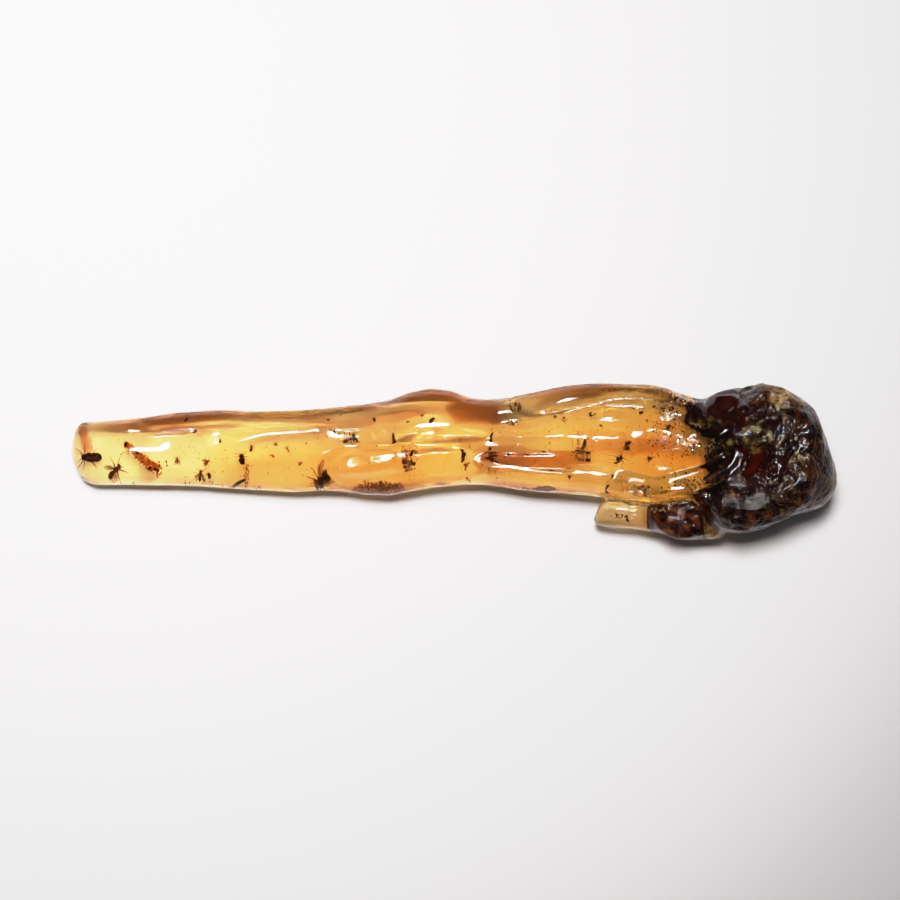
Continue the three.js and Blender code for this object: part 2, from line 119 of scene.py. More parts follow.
TOP_STROKES = {
    "shaft crest": ([(-104, 3.4), (-97, 3.2), (-89, 3.2)], 2.4, 0.3),
    "shaft fall": ([(-114, 7.6), (-100, 7.8), (-88, 8.2), (-74, 9)], 3, -0.8),
    "crest rise": ([(-89, 4.4), (-76, 4.8), (-64, 5.4), (-50, 6), (-38, 6)], 4, 0.5),
    "shaft shoulder": ([(-73, 4.7), (-65, 6.9), (-59.5, 8.6), (-48, 9.6), (-36, 10.6)], 2.4, 0.9),
    "shaft trough": ([(-78, 9.6), (-64, 10.8), (-50, 11.8), (-30, 12.2)], 1.3, -0.7),
    "band border": ([(-118, 9.3), (-104, 9.2), (-92, 9.4), (-80, 10.2), (-66, 10.8)], 0.8, -0.3),
    "band rib": ([(-96, 12), (-84, 13.4), (-72, 14), (-60, 13.4)], 1.2, 0.6),
    "band second rib": ([(-66, 14.6), (-52, 14.8), (-38, 15.2), (-26, 16.6)], 1.1, 0.6),
    "olive streak": ([(-58, 12.4), (-44, 11.6), (-32, 12.6), (-20, 14.4), (-8, 16.6)], 0.8, -0.5),
    "olive second streak": ([(-38, 9.8), (-32, 9.4), (-24, 9.8), (-18, 10.8)], 0.8, -0.3),
    "bulge crease": ([(-26, 17.4), (-16, 18.4), (-6, 19), (4, 18.4)], 0.9, -0.5),
    "small lobe": ([(-17, 6.8), (-14, 9), (-9, 9.4)], 1.1, 0.7),
    "middle streak": ([(-6, 7.6), (4, 8.2), (11, 6.8)], 1.3, 0.8),
    "tongue valley": ([(-34, 5), (-24, 5.4), (-10, 5.4), (2, 5)], 1, -0.6),
    "tongue tip": ([(-37, -1.8), (-30, -1.3), (-24, -0.7), (-17, 0)], 1.6, 0.35),
    "tongue back": ([(-14, 1), (-8, 2.4), (4, 3)], 1.5, 0.5),
    "lower valley": ([(-36, -5.4), (-26, -5.2), (-16, -3.4), (-6, -1.6)], 1.1, -0.5),
    "sharp valley": ([(18.6, 11.6), (21, 9.4), (25, 9.8), (28.4, 11)], 0.9, -1),
    "upper valley fill": ([(20, 12.2), (28, 13.2), (40.6, 16.4), (50, 18.6), (66, 18.3)], 2.6, 1.3),
    "lower valley fill": ([(8, 3.2), (20, 2.2), (34, 1.8), (48, 1.2), (58, 1)], 2.4, 1),
    "central ridge": ([(10, 8.4), (24, 7.8), (31, 7.6), (38, 7.2), (49, 6.8), (60, 8)], 2.4, 0.8),
    "flow crease": ([(8, 0.9), (14, -0.6), (22, -1.7), (31, -2.2), (40, -2)], 1.3, -1.1),
    "stub groove": ([(46, -12.2), (54, -12.3), (60, -12.5), (65, -12.8)], 0.8, -1),
    "head fold": ([(88.5, 21), (92.5, 16.4), (97.6, 14.4), (103, 15.2)], 1.1, -1),
    "head ridge": ([(82, 17.6), (87, 17.2), (90, 15.4)], 1.1, 0.9),
    "knot": ([(68, 20.6), (72, 18.2), (76.5, 17.2)], 1, 0.7),
    "knot fold": ([(67, 18.6), (71, 16.6), (75, 15.4)], 0.9, -0.5),
}

# The tongue of clear resin that runs onto the head: outline, rounded edge width, its height at a place
# along X, how much it rises per millimetre of X, and how much its end falls per millimetre of Y.

TONGUE = [
    (54, -6.4), (62, -11.4), (73, -14.4), (84, -17), (97, -15), (107, -7), (109, 4), (104, 14),
    (92, 16), (80, 13), (70, 10.5), (58, 6),
]
TONGUE_EDGE = 12.0
TONGUE_START = (64, 29.5)
TONGUE_RISE = 0.10
TONGUE_FALL = 0.09

# Its rounded lip: path, heights at shares of its length, radius across, reach to either side.

LIP = [
    (46, -5.6), (54, -6.8), (61, -7.6), (67.7, -7.9), (71.8, -6.6), (78, -5), (82.5, -3.5),
    (86.6, -1.3), (88.2, 1.3), (88.8, 5), (87.9, 8),
]
LIP_HEIGHTS = [(0, 26), (0.29, 28.4), (0.44, 30.5), (0.81, 32.4), (1, 31.5)]
LIP_RADIUS = 6.0
LIP_REACH = 5.5

# The dome over the soil knot beside the head: middle and half lengths of its outline, then the place of its
# crest, the lengths in which it falls by DOME_DROP, and its height.

DOME_MIDDLE = (72, -17.2)
DOME_SIZE = (9.4, 8)
DOME_CREST = (72, -12.5)
DOME_SLOPE = (9.4, 12.5)
DOME_TOP = 23.2
DOME_DROP = 3.4

# Raised lobes on the top face: outline in millimetres, rounded edge width, height.

LOBES = {
    "drip tongue": ([(-37.4, -1.2), (-36, 0.9), (-32.4, 2.6), (-26.4, 3.4), (-18, 3.4), (-11, 3.6), (-2, 4),
                     (5, 3.6), (4, 1.4), (-8, 0.4), (-16, -1.2), (-21, -2.8), (-27, -3.8), (-31.8, -4.7),
                     (-36.2, -3.5)], 3.2, 0.6),
    "upper drip": ([(-17.6, 6.4), (-15.6, 8.8), (-10, 10.2), (0, 10.6), (10, 9.4), (12, 7), (4, 6.2),
                    (-8, 5.8)], 1.4, 0.6),
    "upper lobe": ([(18, 17), (22, 14.4), (28, 13.8), (37, 15.2), (44, 16.8), (50, 18.4), (62, 18.8),
                    (69, 17.4), (71, 22), (62, 26), (44, 27), (30, 25), (20, 22)], 2.2, 0.8),
    "head lobe": ([(78, 13), (80, 20), (84, 24.2), (88, 24.6), (91, 21), (93.4, 16.6), (98, 13.4),
                   (94, 10.6), (86, 11.4)], 2.4, 1),
}

# Where the skin is finely cracked and glitters: middle x, y, half lengths, turn in degrees.

CRACKLE_ZONES = [
    ((56, 19), (9, 2), -2), ((56, -10.4), (4.5, 1.4), 6), ((70, 16), (5.5, 2.2), 20),
    ((73, 5), (6, 2.4), 14), ((19, 11.8), (2.4, 1.2), 20),
]

# Dark debris in the head

DEBRIS_VOXEL = 0.5
DEBRIS_SKIN = 0.45
COARSE_CELLS = (3.4, 0.9)
FINE_CELLS = (1.3, 0.42)
GRAIN = (0.9, 0.12)

# Each piece: its node, how near the skin must be to grow out to it, and its fringe in the clear resin.

DEBRIS_PIECES = {"head_debris": ("bark_and_soil_lump", 5, 4), "soil_knot": ("soil_clump", 5, 0.6)}
GRANULE_COUNT = 420
CRUMB_COUNT = 420
STRAND_COUNT = 5

# Colour zones on the debris: middle x, y in millimetres, half lengths, turn in degrees.

OXBLOOD_ZONES = [
    ((86, 16.5), (12, 7.5), 10), ((95, -2), (10, 7), -10), ((83, 8), (5.5, 4), 0),
    ((97, 12), (6, 3), -20),
]
WINDOW_ZONES = [
    ((94.5, 8), (4.2, 4.4), 60), ((80.5, 12), (5.6, 1.6), 4), ((83, 4.2), (4.6, 2.4), 8),
]
CRUST_ZONES = [
    ((99, 23), (4.6, 1.8), 0), ((104.5, 17.4), (4.4, 2.2), 30), ((108, 1.5), (2.4, 2), 0),
    ((94, 20.5), (2.2, 1.6), 40), ((104.5, 20), (6, 2.4), -24), ((97, 23.6), (4, 1.4), 8),
]
RED_SOIL_ZONES = [((72, -17.6), (11, 9.5), 0)]
RIM_ZONES = [((118.6, -2), (2.6, 9), -8), ((113, -15.5), (6, 1.6), 35)]

# Browner flows inside the resin: path in plan, depth share from the top face, half width, half thickness.

FLOW_PATHS = [
    ([(-119, 10.6), (-108, 10.8), (-96, 11), (-86, 11.6), (-76, 12.6), (-66, 13.6)], 0.45, 2.2, 2.4),
    # The run at the cut end is partly a brown cap of the resin and partly painted shade, standing for the
    # dark inner reflection at the cut end.
    ([(-117, 11.8), (-115.6, 9.4), (-114.8, 6.6), (-114.2, 4), (-114, 1.6)], 0.35, 1.5, 3.2),
    ([(-110, 8.6), (-102, 9), (-94, 8.8), (-86, 9.8), (-80, 9.6)], 0.20, 0.6, 0.5),
    ([(-104, 10.4), (-96, 11.2), (-88, 11.4), (-78, 12.4), (-70, 12.2)], 0.15, 0.6, 0.6),
    ([(-86, 9), (-78, 10.4), (-70, 11), (-62, 10.2), (-52, 11.4)], 0.15, 0.55, 0.5),
    ([(-72, 13), (-62, 12.2), (-52, 13.4), (-42, 12.8), (-30, 13.8)], 0.18, 0.6, 0.6),
    ([(-60, 8.8), (-50, 9.4), (-42, 8.8), (-34, 9.8), (-26, 9.4)], 0.15, 0.5, 0.4),
    ([(-36, 13.8), (-26, 13.4), (-16, 15), (-6, 16.8), (2, 17.2)], 0.15, 0.6, 0.6),
    ([(-98, 12.6), (-84, 13.6), (-72, 14.2), (-60, 13.6)], 0.35, 1.4, 1),
    ([(-66, 12.4), (-54, 12.8), (-42, 13.2), (-30, 14.6)], 0.45, 1.2, 0.8),
    ([(-50, 10.8), (-38, 10.4), (-26, 11.6), (-14, 13.8), (-4, 15.4)], 0.35, 1.8, 1.2),
    ([(-36, 16), (-26, 17.2), (-16, 18.6), (-6, 20.2), (3, 19.6), (9, 17.8)], 0.40, 3, 2.4),
    ([(-2, 15.8), (4, 15.2), (10, 14.8), (18, 14.2)], 0.30, 4.4, 2.7),
    ([(22, 19.4), (32, 20.8), (42, 21.6), (54, 21.6)], 0.40, 3.2, 1.9),
    ([(66, 20.6), (70, 18.6), (76, 15.4)], 0.40, 2, 1),
    ([(6, 2.4), (12, 1.6), (22, 1.2), (34, 1.2), (46, 1.6)], 0.30, 4, 2.9),
    ([(38, 5), (50, 5), (62, 4.8), (72, 4.6)], 0.35, 2.8, 1.3),
    ([(57, 5.8), (61, 5.8), (66, 5.4)], 0.30, 2, 0.8),
    ([(10, -3.6), (20, -5.6), (30, -6.8), (42, -7.4)], 0.45, 1.8, 1.3),
    ([(-36, -7.6), (-28, -8.6), (-20, -9.4), (-11, -8.6)], 0.50, 2.6, 2.6),
]
FLOW_TINT = (0.75, 0.525, 0.425, 1)
FLOW_DENSITY = 400.0

# More golden lenses of resin, given the same way.

GOLDEN_PATHS = [
    ([(-84, 0.6), (-70, 0.8), (-56, 0.8), (-40, 1), (-20, 1.8), (0, 1.6), (12, 0.6)], 0.50, 7.6, 1.9),
    ([(44, -17), (52, -17.2), (60, -17.4), (69, -17.8)], 0.50, 3.6, 0.8),
    ([(58, 8), (68, 5), (78, 2), (86, -1)], 0.40, 5.4, 2),
    ([(-60, -7), (-46, -7.6), (-30, -8.4), (-10, -6.6), (10, -5), (24, -6)], 0.50, 2.4, 1.6),
]
GOLDEN_TINT = (0.985, 0.80, 0.60, 1)
GOLDEN_DENSITY = 250.0
FLOW_VOXEL = 0.45
FLOW_SIDES = 16


def smoothstep(low, high, value):
    share = np.clip((value - low) / (high - low), 0.0, 1.0)
    return share * share * (3.0 - 2.0 * share)


def points_of(mesh):
    """Vertex places of a mesh in millimetres."""
    flat = np.zeros(len(mesh.vertices) * 3, np.float32)
    mesh.vertices.foreach_get("co", flat)
    return flat.reshape(-1, 3).astype(float) / MM


def set_points(mesh, points):
    mesh.vertices.foreach_set("co", (points * MM).astype(np.float32).ravel())
    mesh.update()


def normals_of(mesh):
    flat = np.zeros(len(mesh.vertices) * 3, np.float32)
    mesh.vertex_normals.foreach_get("vector", flat)
    return flat.reshape(-1, 3).astype(float)


def edges_of(mesh):
    flat = np.zeros(len(mesh.edges) * 2, np.int32)
    mesh.edges.foreach_get("vertices", flat)
    return flat.reshape(-1, 2)


def smoothed(points, edges, rounds, share=0.5, back=-0.51):
    """Laplacian smoothing whose every second step pushes back out, so thin places don't shrink."""
    first, second = edges[:, 0], edges[:, 1]
    count = len(points)
    degree = np.bincount(first, minlength=count) + np.bincount(second, minlength=count)
    for step in range(rounds * 2):
        mean = np.empty_like(points)
        for axis in range(3):
            values = points[:, axis]
            total = np.bincount(first, values[second], count) + np.bincount(second, values[first], count)
            mean[:, axis] = total / degree
        points = points + (mean - points) * (share if step % 2 == 0 else back)
    return points


def new_object(name, data):
    """An object in the scene for a mesh, a lamp or a camera."""
    made = bpy.data.objects.new(name, data)
    bpy.context.scene.collection.objects.link(made)
    return made


def shade_smooth(mesh):
    mesh.polygons.foreach_set("use_smooth", np.ones(len(mesh.polygons), bool))


def give_material(piece, material):
    piece.data.materials.clear()
    piece.data.materials.append(material)


def mesh_from(name, points, faces):
    mesh = bpy.data.meshes.new(name)
    mesh.from_pydata([tuple(p * MM) for p in np.asarray(points, float)], [], faces)
    mesh.update()
    return mesh


def nodes_joined(name, nodes):
    """One new mesh that holds copies of the CAD nodes' meshes."""
    heap = Heap()
    for node in nodes:
        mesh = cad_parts[node].data
        heap.add((points_of(mesh), [polygon.vertices for polygon in mesh.polygons]))
    return mesh_from(name, heap.points, heap.faces)


def voxel_remeshed(name, mesh, voxel):
    """The mesh made anew from voxels of that size in millimetres."""
    holder = new_object(name, mesh)
    modifier = holder.modifiers.new("voxels", "REMESH")
    modifier.mode = "VOXEL"
    modifier.voxel_size = voxel * MM
    modifier.adaptivity = 0.0
    bpy.context.view_layer.update()
    graph = bpy.context.evaluated_depsgraph_get()
    made = bpy.data.meshes.new_from_object(holder.evaluated_get(graph))
    bpy.data.objects.remove(holder)
    made.name = name
    return made


def largest_island(mesh):
    """The mesh without loose inner shells."""
    edges = edges_of(mesh)
    label = np.arange(len(mesh.vertices))
    while True:
        low = np.minimum(label[edges[:, 0]], label[edges[:, 1]])
        before = label.copy()
        np.minimum.at(label, edges[:, 0], low)
        np.minimum.at(label, edges[:, 1], low)
        label = label[label]
        if np.array_equal(before, label):
            break
    names, counts = np.unique(label, return_counts=True)
    keep = label == names[counts.argmax()]
    if keep.all():
        return mesh
    new_number = np.cumsum(keep) - 1
    faces = [[int(new_number[v]) for v in p.vertices] for p in mesh.polygons if keep[p.vertices[0]]]
    return mesh_from(mesh.name, points_of(mesh)[keep], faces)


def along_path(places, path):
    """Distance in plan from each place to a path, and how far along the path that is, from 0 to 1."""
    path = np.asarray(path, float)
    starts, ends = path[:-1], path[1:]
    lengths = np.linalg.norm(ends - starts, axis=1)
    passed = np.concatenate([[0.0], np.cumsum(lengths)])
    nearest = np.full(len(places), 1e9)
    where = np.zeros(len(places))
    for start, end, length, before in zip(starts, ends, lengths, passed):
        step = (end - start) / length
        reach = np.clip((places - start) @ step, 0.0, length)
        away = np.linalg.norm(places - start - reach[:, None] * step, axis=1)
        closer = away < nearest
        nearest[closer] = away[closer]
        where[closer] = (before + reach[closer]) / passed[-1]
    return nearest, where


def inside_outline(places, outline):
    """True for each place inside the outline in plan."""
    outline = np.asarray(outline, float)
    inside = np.zeros(len(places), bool)
    x, y = places[:, 0], places[:, 1]
    for start, end in zip(outline, np.roll(outline, -1, axis=0)):
        crosses = (start[1] > y) != (end[1] > y)
        rise = end[1] - start[1]
        at = start[0] + (y - start[1]) * (end[0] - start[0]) / (rise if rise else 1e-9)
        inside ^= crosses & (x < at)
    return inside


def smooth_curve(path, closed=False):
    """Corner cutting, so a given path runs in soft bends."""
    path = np.asarray(path, float)
    for _ in range(CORNER_ROUNDS):
        following = np.roll(path, -1, axis=0) if closed else path[1:]
        here = path if closed else path[:-1]
        cut = np.empty((len(here) * 2, 2))
        cut[0::2] = here * 0.75 + following * 0.25
        cut[1::2] = here * 0.25 + following * 0.75
        path = cut if closed else np.vstack([path[:1], cut, path[-1:]])
    return path


def depth_inside(plan, outline):
    """How far in plan each place lies inside a softened outline, and 0 outside it."""
    closed = smooth_curve(outline, closed=True)
    away, _ = along_path(plan, np.vstack([closed, closed[:1]]))
    return np.where(inside_outline(plan, closed), away, 0.0)


def noise_at(points, scale, seed=0.0, stretch=(1.0, 1.0, 1.0)):
    """Smooth noise from -1 to 1 at each point, with features about scale millimetres wide."""
    places = points / scale / np.asarray(stretch) + seed
    return np.array([noise.noise(Vector(p)) for p in places])


def carve_top(points, normals):
    """How far the strokes and lobes raise each vertex of the top face, in millimetres."""
    plan = points[:, :2]
    raised = np.zeros(len(points))
    for path, width, height in TOP_STROKES.values():
        away, where = along_path(plan, smooth_curve(path))
        ends = smoothstep(0.0, 0.18, where) * smoothstep(1.0, 0.82, where)
        sharpness = 2.0 if height > 0 else 1.2
        raised += height * np.exp(-((away / width) ** sharpness)) * ends
    for outline, edge, height in LOBES.values():
        share = np.clip(depth_inside(plan, outline) / edge, 0.0, 1.0)
        raised += height * np.sqrt(1.0 - (1.0 - share) ** 2)
    return raised * smoothstep(0.05, 0.6, normals[:, 2])


def from_centre(x, y, middle, size):
    """Distance in plan from a middle, as a share of an ellipse of those half lengths."""
    return np.hypot((x - middle[0]) / size[0], (y - middle[1]) / size[1])


def settle_top(points, normals):
    """The points, with the top face at set heights on the tongue, its lip and the soil knot."""
    plan, upward = points[:, :2], normals[:, 2]
    x, y = points[:, 0], points[:, 1]
    facing_up = smoothstep(0.2, 0.5, upward)
    share = smoothstep(0.0, TONGUE_EDGE, depth_inside(plan, TONGUE)) * facing_up
    target = TONGUE_START[1] + (x - TONGUE_START[0]) * TONGUE_RISE
    target -= y * TONGUE_FALL * smoothstep(82, 88, x)
    height = points[:, 2] + (target - points[:, 2]) * share
    away, where = along_path(plan, smooth_curve(LIP))
    ends = smoothstep(0.0, 0.2, where) * smoothstep(1.0, 0.86, where)
    crest = np.interp(where, *zip(*LIP_HEIGHTS)) - away ** 2 / (2 * LIP_RADIUS)
    share = smoothstep(LIP_REACH, 0.4 * LIP_REACH, away) * ends * facing_up
    height += (crest - height) * share
    share = smoothstep(1.1, 0.7, from_centre(x, y, DOME_MIDDLE, DOME_SIZE)) * smoothstep(0.1, 0.3, upward)
    height += (DOME_TOP - DOME_DROP * from_centre(x, y, DOME_CREST, DOME_SLOPE) ** 2 - height) * share
    return np.column_stack([plan, height])


def skin_tree(points, mesh):
    """A search tree of a surface, in millimetres."""
    return BVHTree.FromPolygons([Vector(p) for p in points], [tuple(f.vertices) for f in mesh.polygons])


def kept_inside(points, skin, margin, reach=3.0):
    """The points, with those too near the skin or past it by less than reach moved back under it."""
    kept = np.array(points, float)
    for i, place in enumerate(kept):
        near, outward, _, _ = skin.find_nearest(Vector(place))
        gap = (near - Vector(place)).dot(outward)
        if gap < margin and (near - Vector(place)).length < margin + reach:
            kept[i] = near - outward * margin
    return kept


def inside_at(skin, x, y, share):
    """The point at that share of the way down from the top face of the resin, or None beside the resin."""
    top = skin.ray_cast(Vector((x, y, 100.0)), Vector((0, 0, -1)))[0]
    bottom = skin.ray_cast(Vector((x, y, -10.0)), Vector((0, 0, 1)))[0]
    if top is None or bottom is None:
        return None
    return np.array([x, y, top.z + (bottom.z - top.z) * share])


def turned_place(x, y, along, across, turn):
    """A place in plan, moved along and across a direction turned by that many degrees."""
    c, s = math.cos(math.radians(turn)), math.sin(math.radians(turn))
    return x + along * c - across * s, y + along * s + across * c


def in_millimetres(box):
    """The lowest and highest corner of a box given in metres."""
    return [np.array(corner) / MM for corner in box]


def make_resin():
    halves = nodes_joined("halves", ["copal_upper", "copal_lower"])
    rough = largest_island(voxel_remeshed("resin_rough", halves, CLOSING_VOXEL))
    closed = points_of(rough)
    cut_end = smoothstep(-112, -117, closed[:, 0])[:, None] * CRISPNESS
    set_points(rough, smoothed(closed, edges_of(rough), FACET_SMOOTHING) * (1 - cut_end) + closed * cut_end)
    mesh = largest_island(voxel_remeshed("clear_copal", rough, FINE_VOXEL))
    edges = edges_of(mesh)
    points = smoothed(points_of(mesh), edges, FINE_SMOOTHING)
    set_points(mesh, points)
    points = smoothed(settle_top(points, normals_of(mesh)), edges, TONGUE_SMOOTHING)
    set_points(mesh, points)
    normals = normals_of(mesh)
    lift = carve_top(points, normals)
    flow = noise_at(points, SHAFT_FLOW[0], 3.1, (5.0, 1.0, 1.0)) * SHAFT_FLOW[1]
    dents = noise_at(points, SHAFT_DENTS[0], 9.4, (2.0, 1.0, 1.0)) * SHAFT_DENTS[1]
    head = smoothstep(76, 88, points[:, 0])
    low_side = smoothstep(56, 64, points[:, 0]) * smoothstep(-9, -12, points[:, 1])
    lumpy = np.maximum(head, low_side * smoothstep(64, 68, points[:, 0]))
    lumpy *= 1.0 - zone_share(points, SMOOTH_ZONES)
    lumps = noise_at(points, COARSE_LUMPS[0], 21.0) * COARSE_LUMPS[1]
    lumps += noise_at(points, FINE_LUMPS[0], 33.0) * FINE_LUMPS[1]
    lumps += noise_at(points, RUGGED_LUMPS[0], 41.0) * RUGGED_LUMPS[1] * zone_share(points, RUGGED_ZONES)
    lift += (1.0 - head) * (flow + dents) + lumpy * lumps
    tilt = np.arccos(np.clip(normals[:, 2], -1.0, 1.0))
    shoulder = SHAFT_SHOULDER + (SHOULDER - SHAFT_SHOULDER) * head
    shoulder = np.maximum(shoulder, LOW_SHOULDER * low_side)
    lift += shoulder * np.clip(np.sin(2 * tilt), 0.0, 1.0) ** 1.5
    resting = smoothstep(0.3, 1.6, points[:, 2])
    points = points + normals * (lift * resting)[:, None]
    points = smoothed(points, edges, 1)
    points[:, 2] = np.maximum(points[:, 2], FLOOR_GAP)
    set_points(mesh, points)
    set_attribute(mesh, "pitted", np.maximum(PIT_DEPTH * lumpy, zone_share(points, CRACKLE_ZONES, 0.6)))
    dullness = RESIN_ROUGHNESS + (LUMPY_ROUGHNESS - RESIN_ROUGHNESS) * lumpy
    gloss = PLAIN_GLOSS + (LUMPY_GLOSS - PLAIN_GLOSS) * lumpy
    clump = zone_share(points, RED_SOIL_ZONES)
    set_attribute(mesh, "gloss", gloss + (CLUMP_GLOSS - gloss) * clump)
    below = smoothstep(0.1, -0.5, normals[:, 2])
    set_attribute(mesh, "dullness", dullness + (UNDERSIDE_ROUGHNESS - dullness) * below)
    shade_smooth(mesh)
    return new_object("clear_copal", mesh), skin_tree(points, mesh)


# Dark debris


def zone_share(points, zones, wander=0.35):
    """How much each point belongs to any of the zones, 0 to 1, with ragged borders."""
    ragged = noise_at(points, 2.6, 51.0) * wander
    share = np.zeros(len(points))
    for (x, y), (half_x, half_y), turn in zones:
        along, across = turned_place(0.0, 0.0, points[:, 0] - x, points[:, 1] - y, -turn)
        away = np.hypot(along / half_x, across / half_y)
        share = np.maximum(share, smoothstep(1.2, 0.75, away + ragged))
    return share


def cell_distance(points, scale):
    """Distance to the nearest of scattered seeds about scale millimetres apart, as a share of scale."""
    return np.array([noise.voronoi(Vector(p / scale))[0][0] for p in points])


def set_attribute(mesh, name, values):
    made = mesh.attributes.new(name, "FLOAT", "POINT")
    made.data.foreach_set("value", np.asarray(values, np.float32))


def make_debris(name, node, skin, reach, fringe):
    """The CAD lump grown out to just under the skin, and broken up in lumps and grains."""
    voxel = DEBRIS_VOXEL
    mesh = largest_island(voxel_remeshed(name, nodes_joined(name, [node]), voxel))
    edges = edges_of(mesh)
    points = smoothed(points_of(mesh), edges, 10)
    set_points(mesh, points)
    normals = normals_of(mesh)
    growth = np.zeros((len(points), 3))
    for i, (place, outward) in enumerate(zip(points, normals)):
        hit, _, _, away = skin.ray_cast(Vector(place), Vector(outward), reach)
        if hit is not None:
            growth[i, 0] = max(away - DEBRIS_SKIN, 0.0)
        elif outward[0] < 0:
            growth[i, 0] = -outward[0] * fringe * (0.8 + noise.noise(Vector(place / 3.0)))
    growth = smoothed(growth, edges, 4, 0.5, 0.5)[:, 0]
    points = points + normals * growth[:, None]
    calm = zone_share(points, OXBLOOD_ZONES)
    sunk = noise_at(points, GRAIN[0], 12.0) * GRAIN[1]
    for scale, height in (COARSE_CELLS, FINE_CELLS):
        sunk += height * cell_distance(points, scale) ** 2
    points = points - normals * (sunk * (1.0 - 0.85 * calm))[:, None]
    points = kept_inside(points, skin, DEBRIS_SKIN, 9.0)
    set_points(mesh, points)
    set_attribute(mesh, "oxblood", calm)
    set_attribute(mesh, "window", zone_share(points, WINDOW_ZONES, 0.6))
    set_attribute(mesh, "crust", zone_share(points, CRUST_ZONES, 0.6))
    set_attribute(mesh, "rim", zone_share(points, RIM_ZONES, 0.5))
    set_attribute(mesh, "red_soil", zone_share(points, RED_SOIL_ZONES))
    shade_smooth(mesh)
    return new_object(name, mesh)


# Small shapes, each as points and faces


def ring_faces(rings, sides, first=0):
    """The four-sided faces between rings of points, which are numbered on from the first."""
    faces = []
    for here in range(first, first + (rings - 1) * sides, sides):
        there = here + sides
        for side in range(sides):
            following = (side + 1) % sides
            faces.append([here + side, there + side, there + following, here + following])
    return faces


def ball(centre, size, around=12, rings=8, banding=0.0, bands=5):
    """An egg along X; banding pinches it in rings."""
    points = [(0.5, 0.0, 0.0)]
    for ring in range(1, rings):
        angle = math.pi * ring / rings
        pinch = 1.0 - banding * abs(math.sin(bands * angle))
        for side in range(around):
            turn = 2 * math.pi * side / around
            reach = math.sin(angle) * 0.5 * pinch
            points.append((math.cos(angle) * 0.5, math.cos(turn) * reach, math.sin(turn) * reach))
    points.append((-0.5, 0.0, 0.0))
    last = len(points) - 1
    base = last - around
    faces = ring_faces(rings - 1, around, 1)
    for side in range(around):
        following = (side + 1) % around
        faces.append([0, 1 + side, 1 + following])
        faces.append([base + side, last, base + following])
    return np.array(points) * np.asarray(size) + np.asarray(centre), faces


def tube(path, radii, sides=6):
    """A closed tube along a path, with one radius for each of its points."""
    path = np.asarray(path, float)
    points = []
    for i, (place, radius) in enumerate(zip(path, radii)):
        ahead = path[min(i + 1, len(path) - 1)] - path[max(i - 1, 0)]
        ahead = ahead / (np.linalg.norm(ahead) + 1e-9)
        across = np.cross(ahead, WORLD_UP if abs(ahead[2]) < 0.9 else np.array([1.0, 0.0, 0.0]))
        across /= np.linalg.norm(across)
        over = np.cross(across, ahead)
        for side in range(sides):
            turn = 2 * math.pi * side / sides
            points.append(place + (across * math.cos(turn) + over * math.sin(turn)) * radius)
    faces = [face[:1] + face[:0:-1] for face in ring_faces(len(path), sides)]
    faces.append(list(range(sides))[::-1])
    faces.append([(len(path) - 1) * sides + side for side in range(sides)])
    return np.array(points), faces


def blade(root, heading, length, width, thickness, rise=0.1, steps=14):
    """A thin wing or leaf from its root: a closed sheet that widens, then rounds off."""
    spine = np.linspace(0.0, 1.0, steps)
    half = width / 2 * np.sin(np.pi * np.clip(spine, 0.02, 0.98) ** 1.4) ** 0.7 + width * 0.03
    ahead = np.array([math.cos(heading), math.sin(heading), 0.0])
    across = np.array([-math.sin(heading), math.cos(heading), 0.0])
    points = []
    for share, reach in zip(spine, half):
        middle = np.asarray(root) + ahead * length * share
        middle = middle + WORLD_UP * rise * length * math.sin(share * 2.2)
        for side, height in ((1, 1), (0, 1.6), (-1, 1), (-1, -1), (0, -0.4), (1, -1)):
            points.append(middle + across * reach * side + WORLD_UP * thickness / 2 * height)
    faces = ring_faces(steps, 6)
    faces.append(list(range(6)))
    faces.append([(steps - 1) * 6 + side for side in range(6)][::-1])
    return np.array(points), faces


def grain(centre, size, random, stretch=1.8):
    """An uneven little stone or crumb of 20 faces."""
    golden = (1 + 5 ** 0.5) / 2
    corners = np.array([(-1, golden, 0), (1, golden, 0), (-1, -golden, 0), (1, -golden, 0), (0, -1, golden),
                        (0, 1, golden), (0, -1, -golden), (0, 1, -golden), (golden, 0, -1), (golden, 0, 1),
                        (-golden, 0, -1), (-golden, 0, 1)]) / math.hypot(1, golden)
    faces = [[0, 11, 5], [0, 5, 1], [0, 1, 7], [0, 7, 10], [0, 10, 11], [1, 5, 9], [5, 11, 4], [11, 10, 2],
             [10, 7, 6], [7, 1, 8], [3, 9, 4], [3, 4, 2], [3, 2, 6], [3, 6, 8], [3, 8, 9], [4, 9, 5],
             [2, 4, 11], [6, 2, 10], [8, 6, 7], [9, 8, 1]]
    corners = corners * (1.0 + random.uniform(-0.25, 0.25, (12, 1)))
    corners = corners * np.array([random.uniform(1.0, stretch), 1.0, random.uniform(0.5, 1.0)])
    turn = random.uniform(0, 2 * math.pi)
    c, s = math.cos(turn), math.sin(turn)
    spun = corners @ np.array([[c, s, 0], [-s, c, 0], [0, 0, 1]])
    return spun * size / 2 + np.asarray(centre), faces


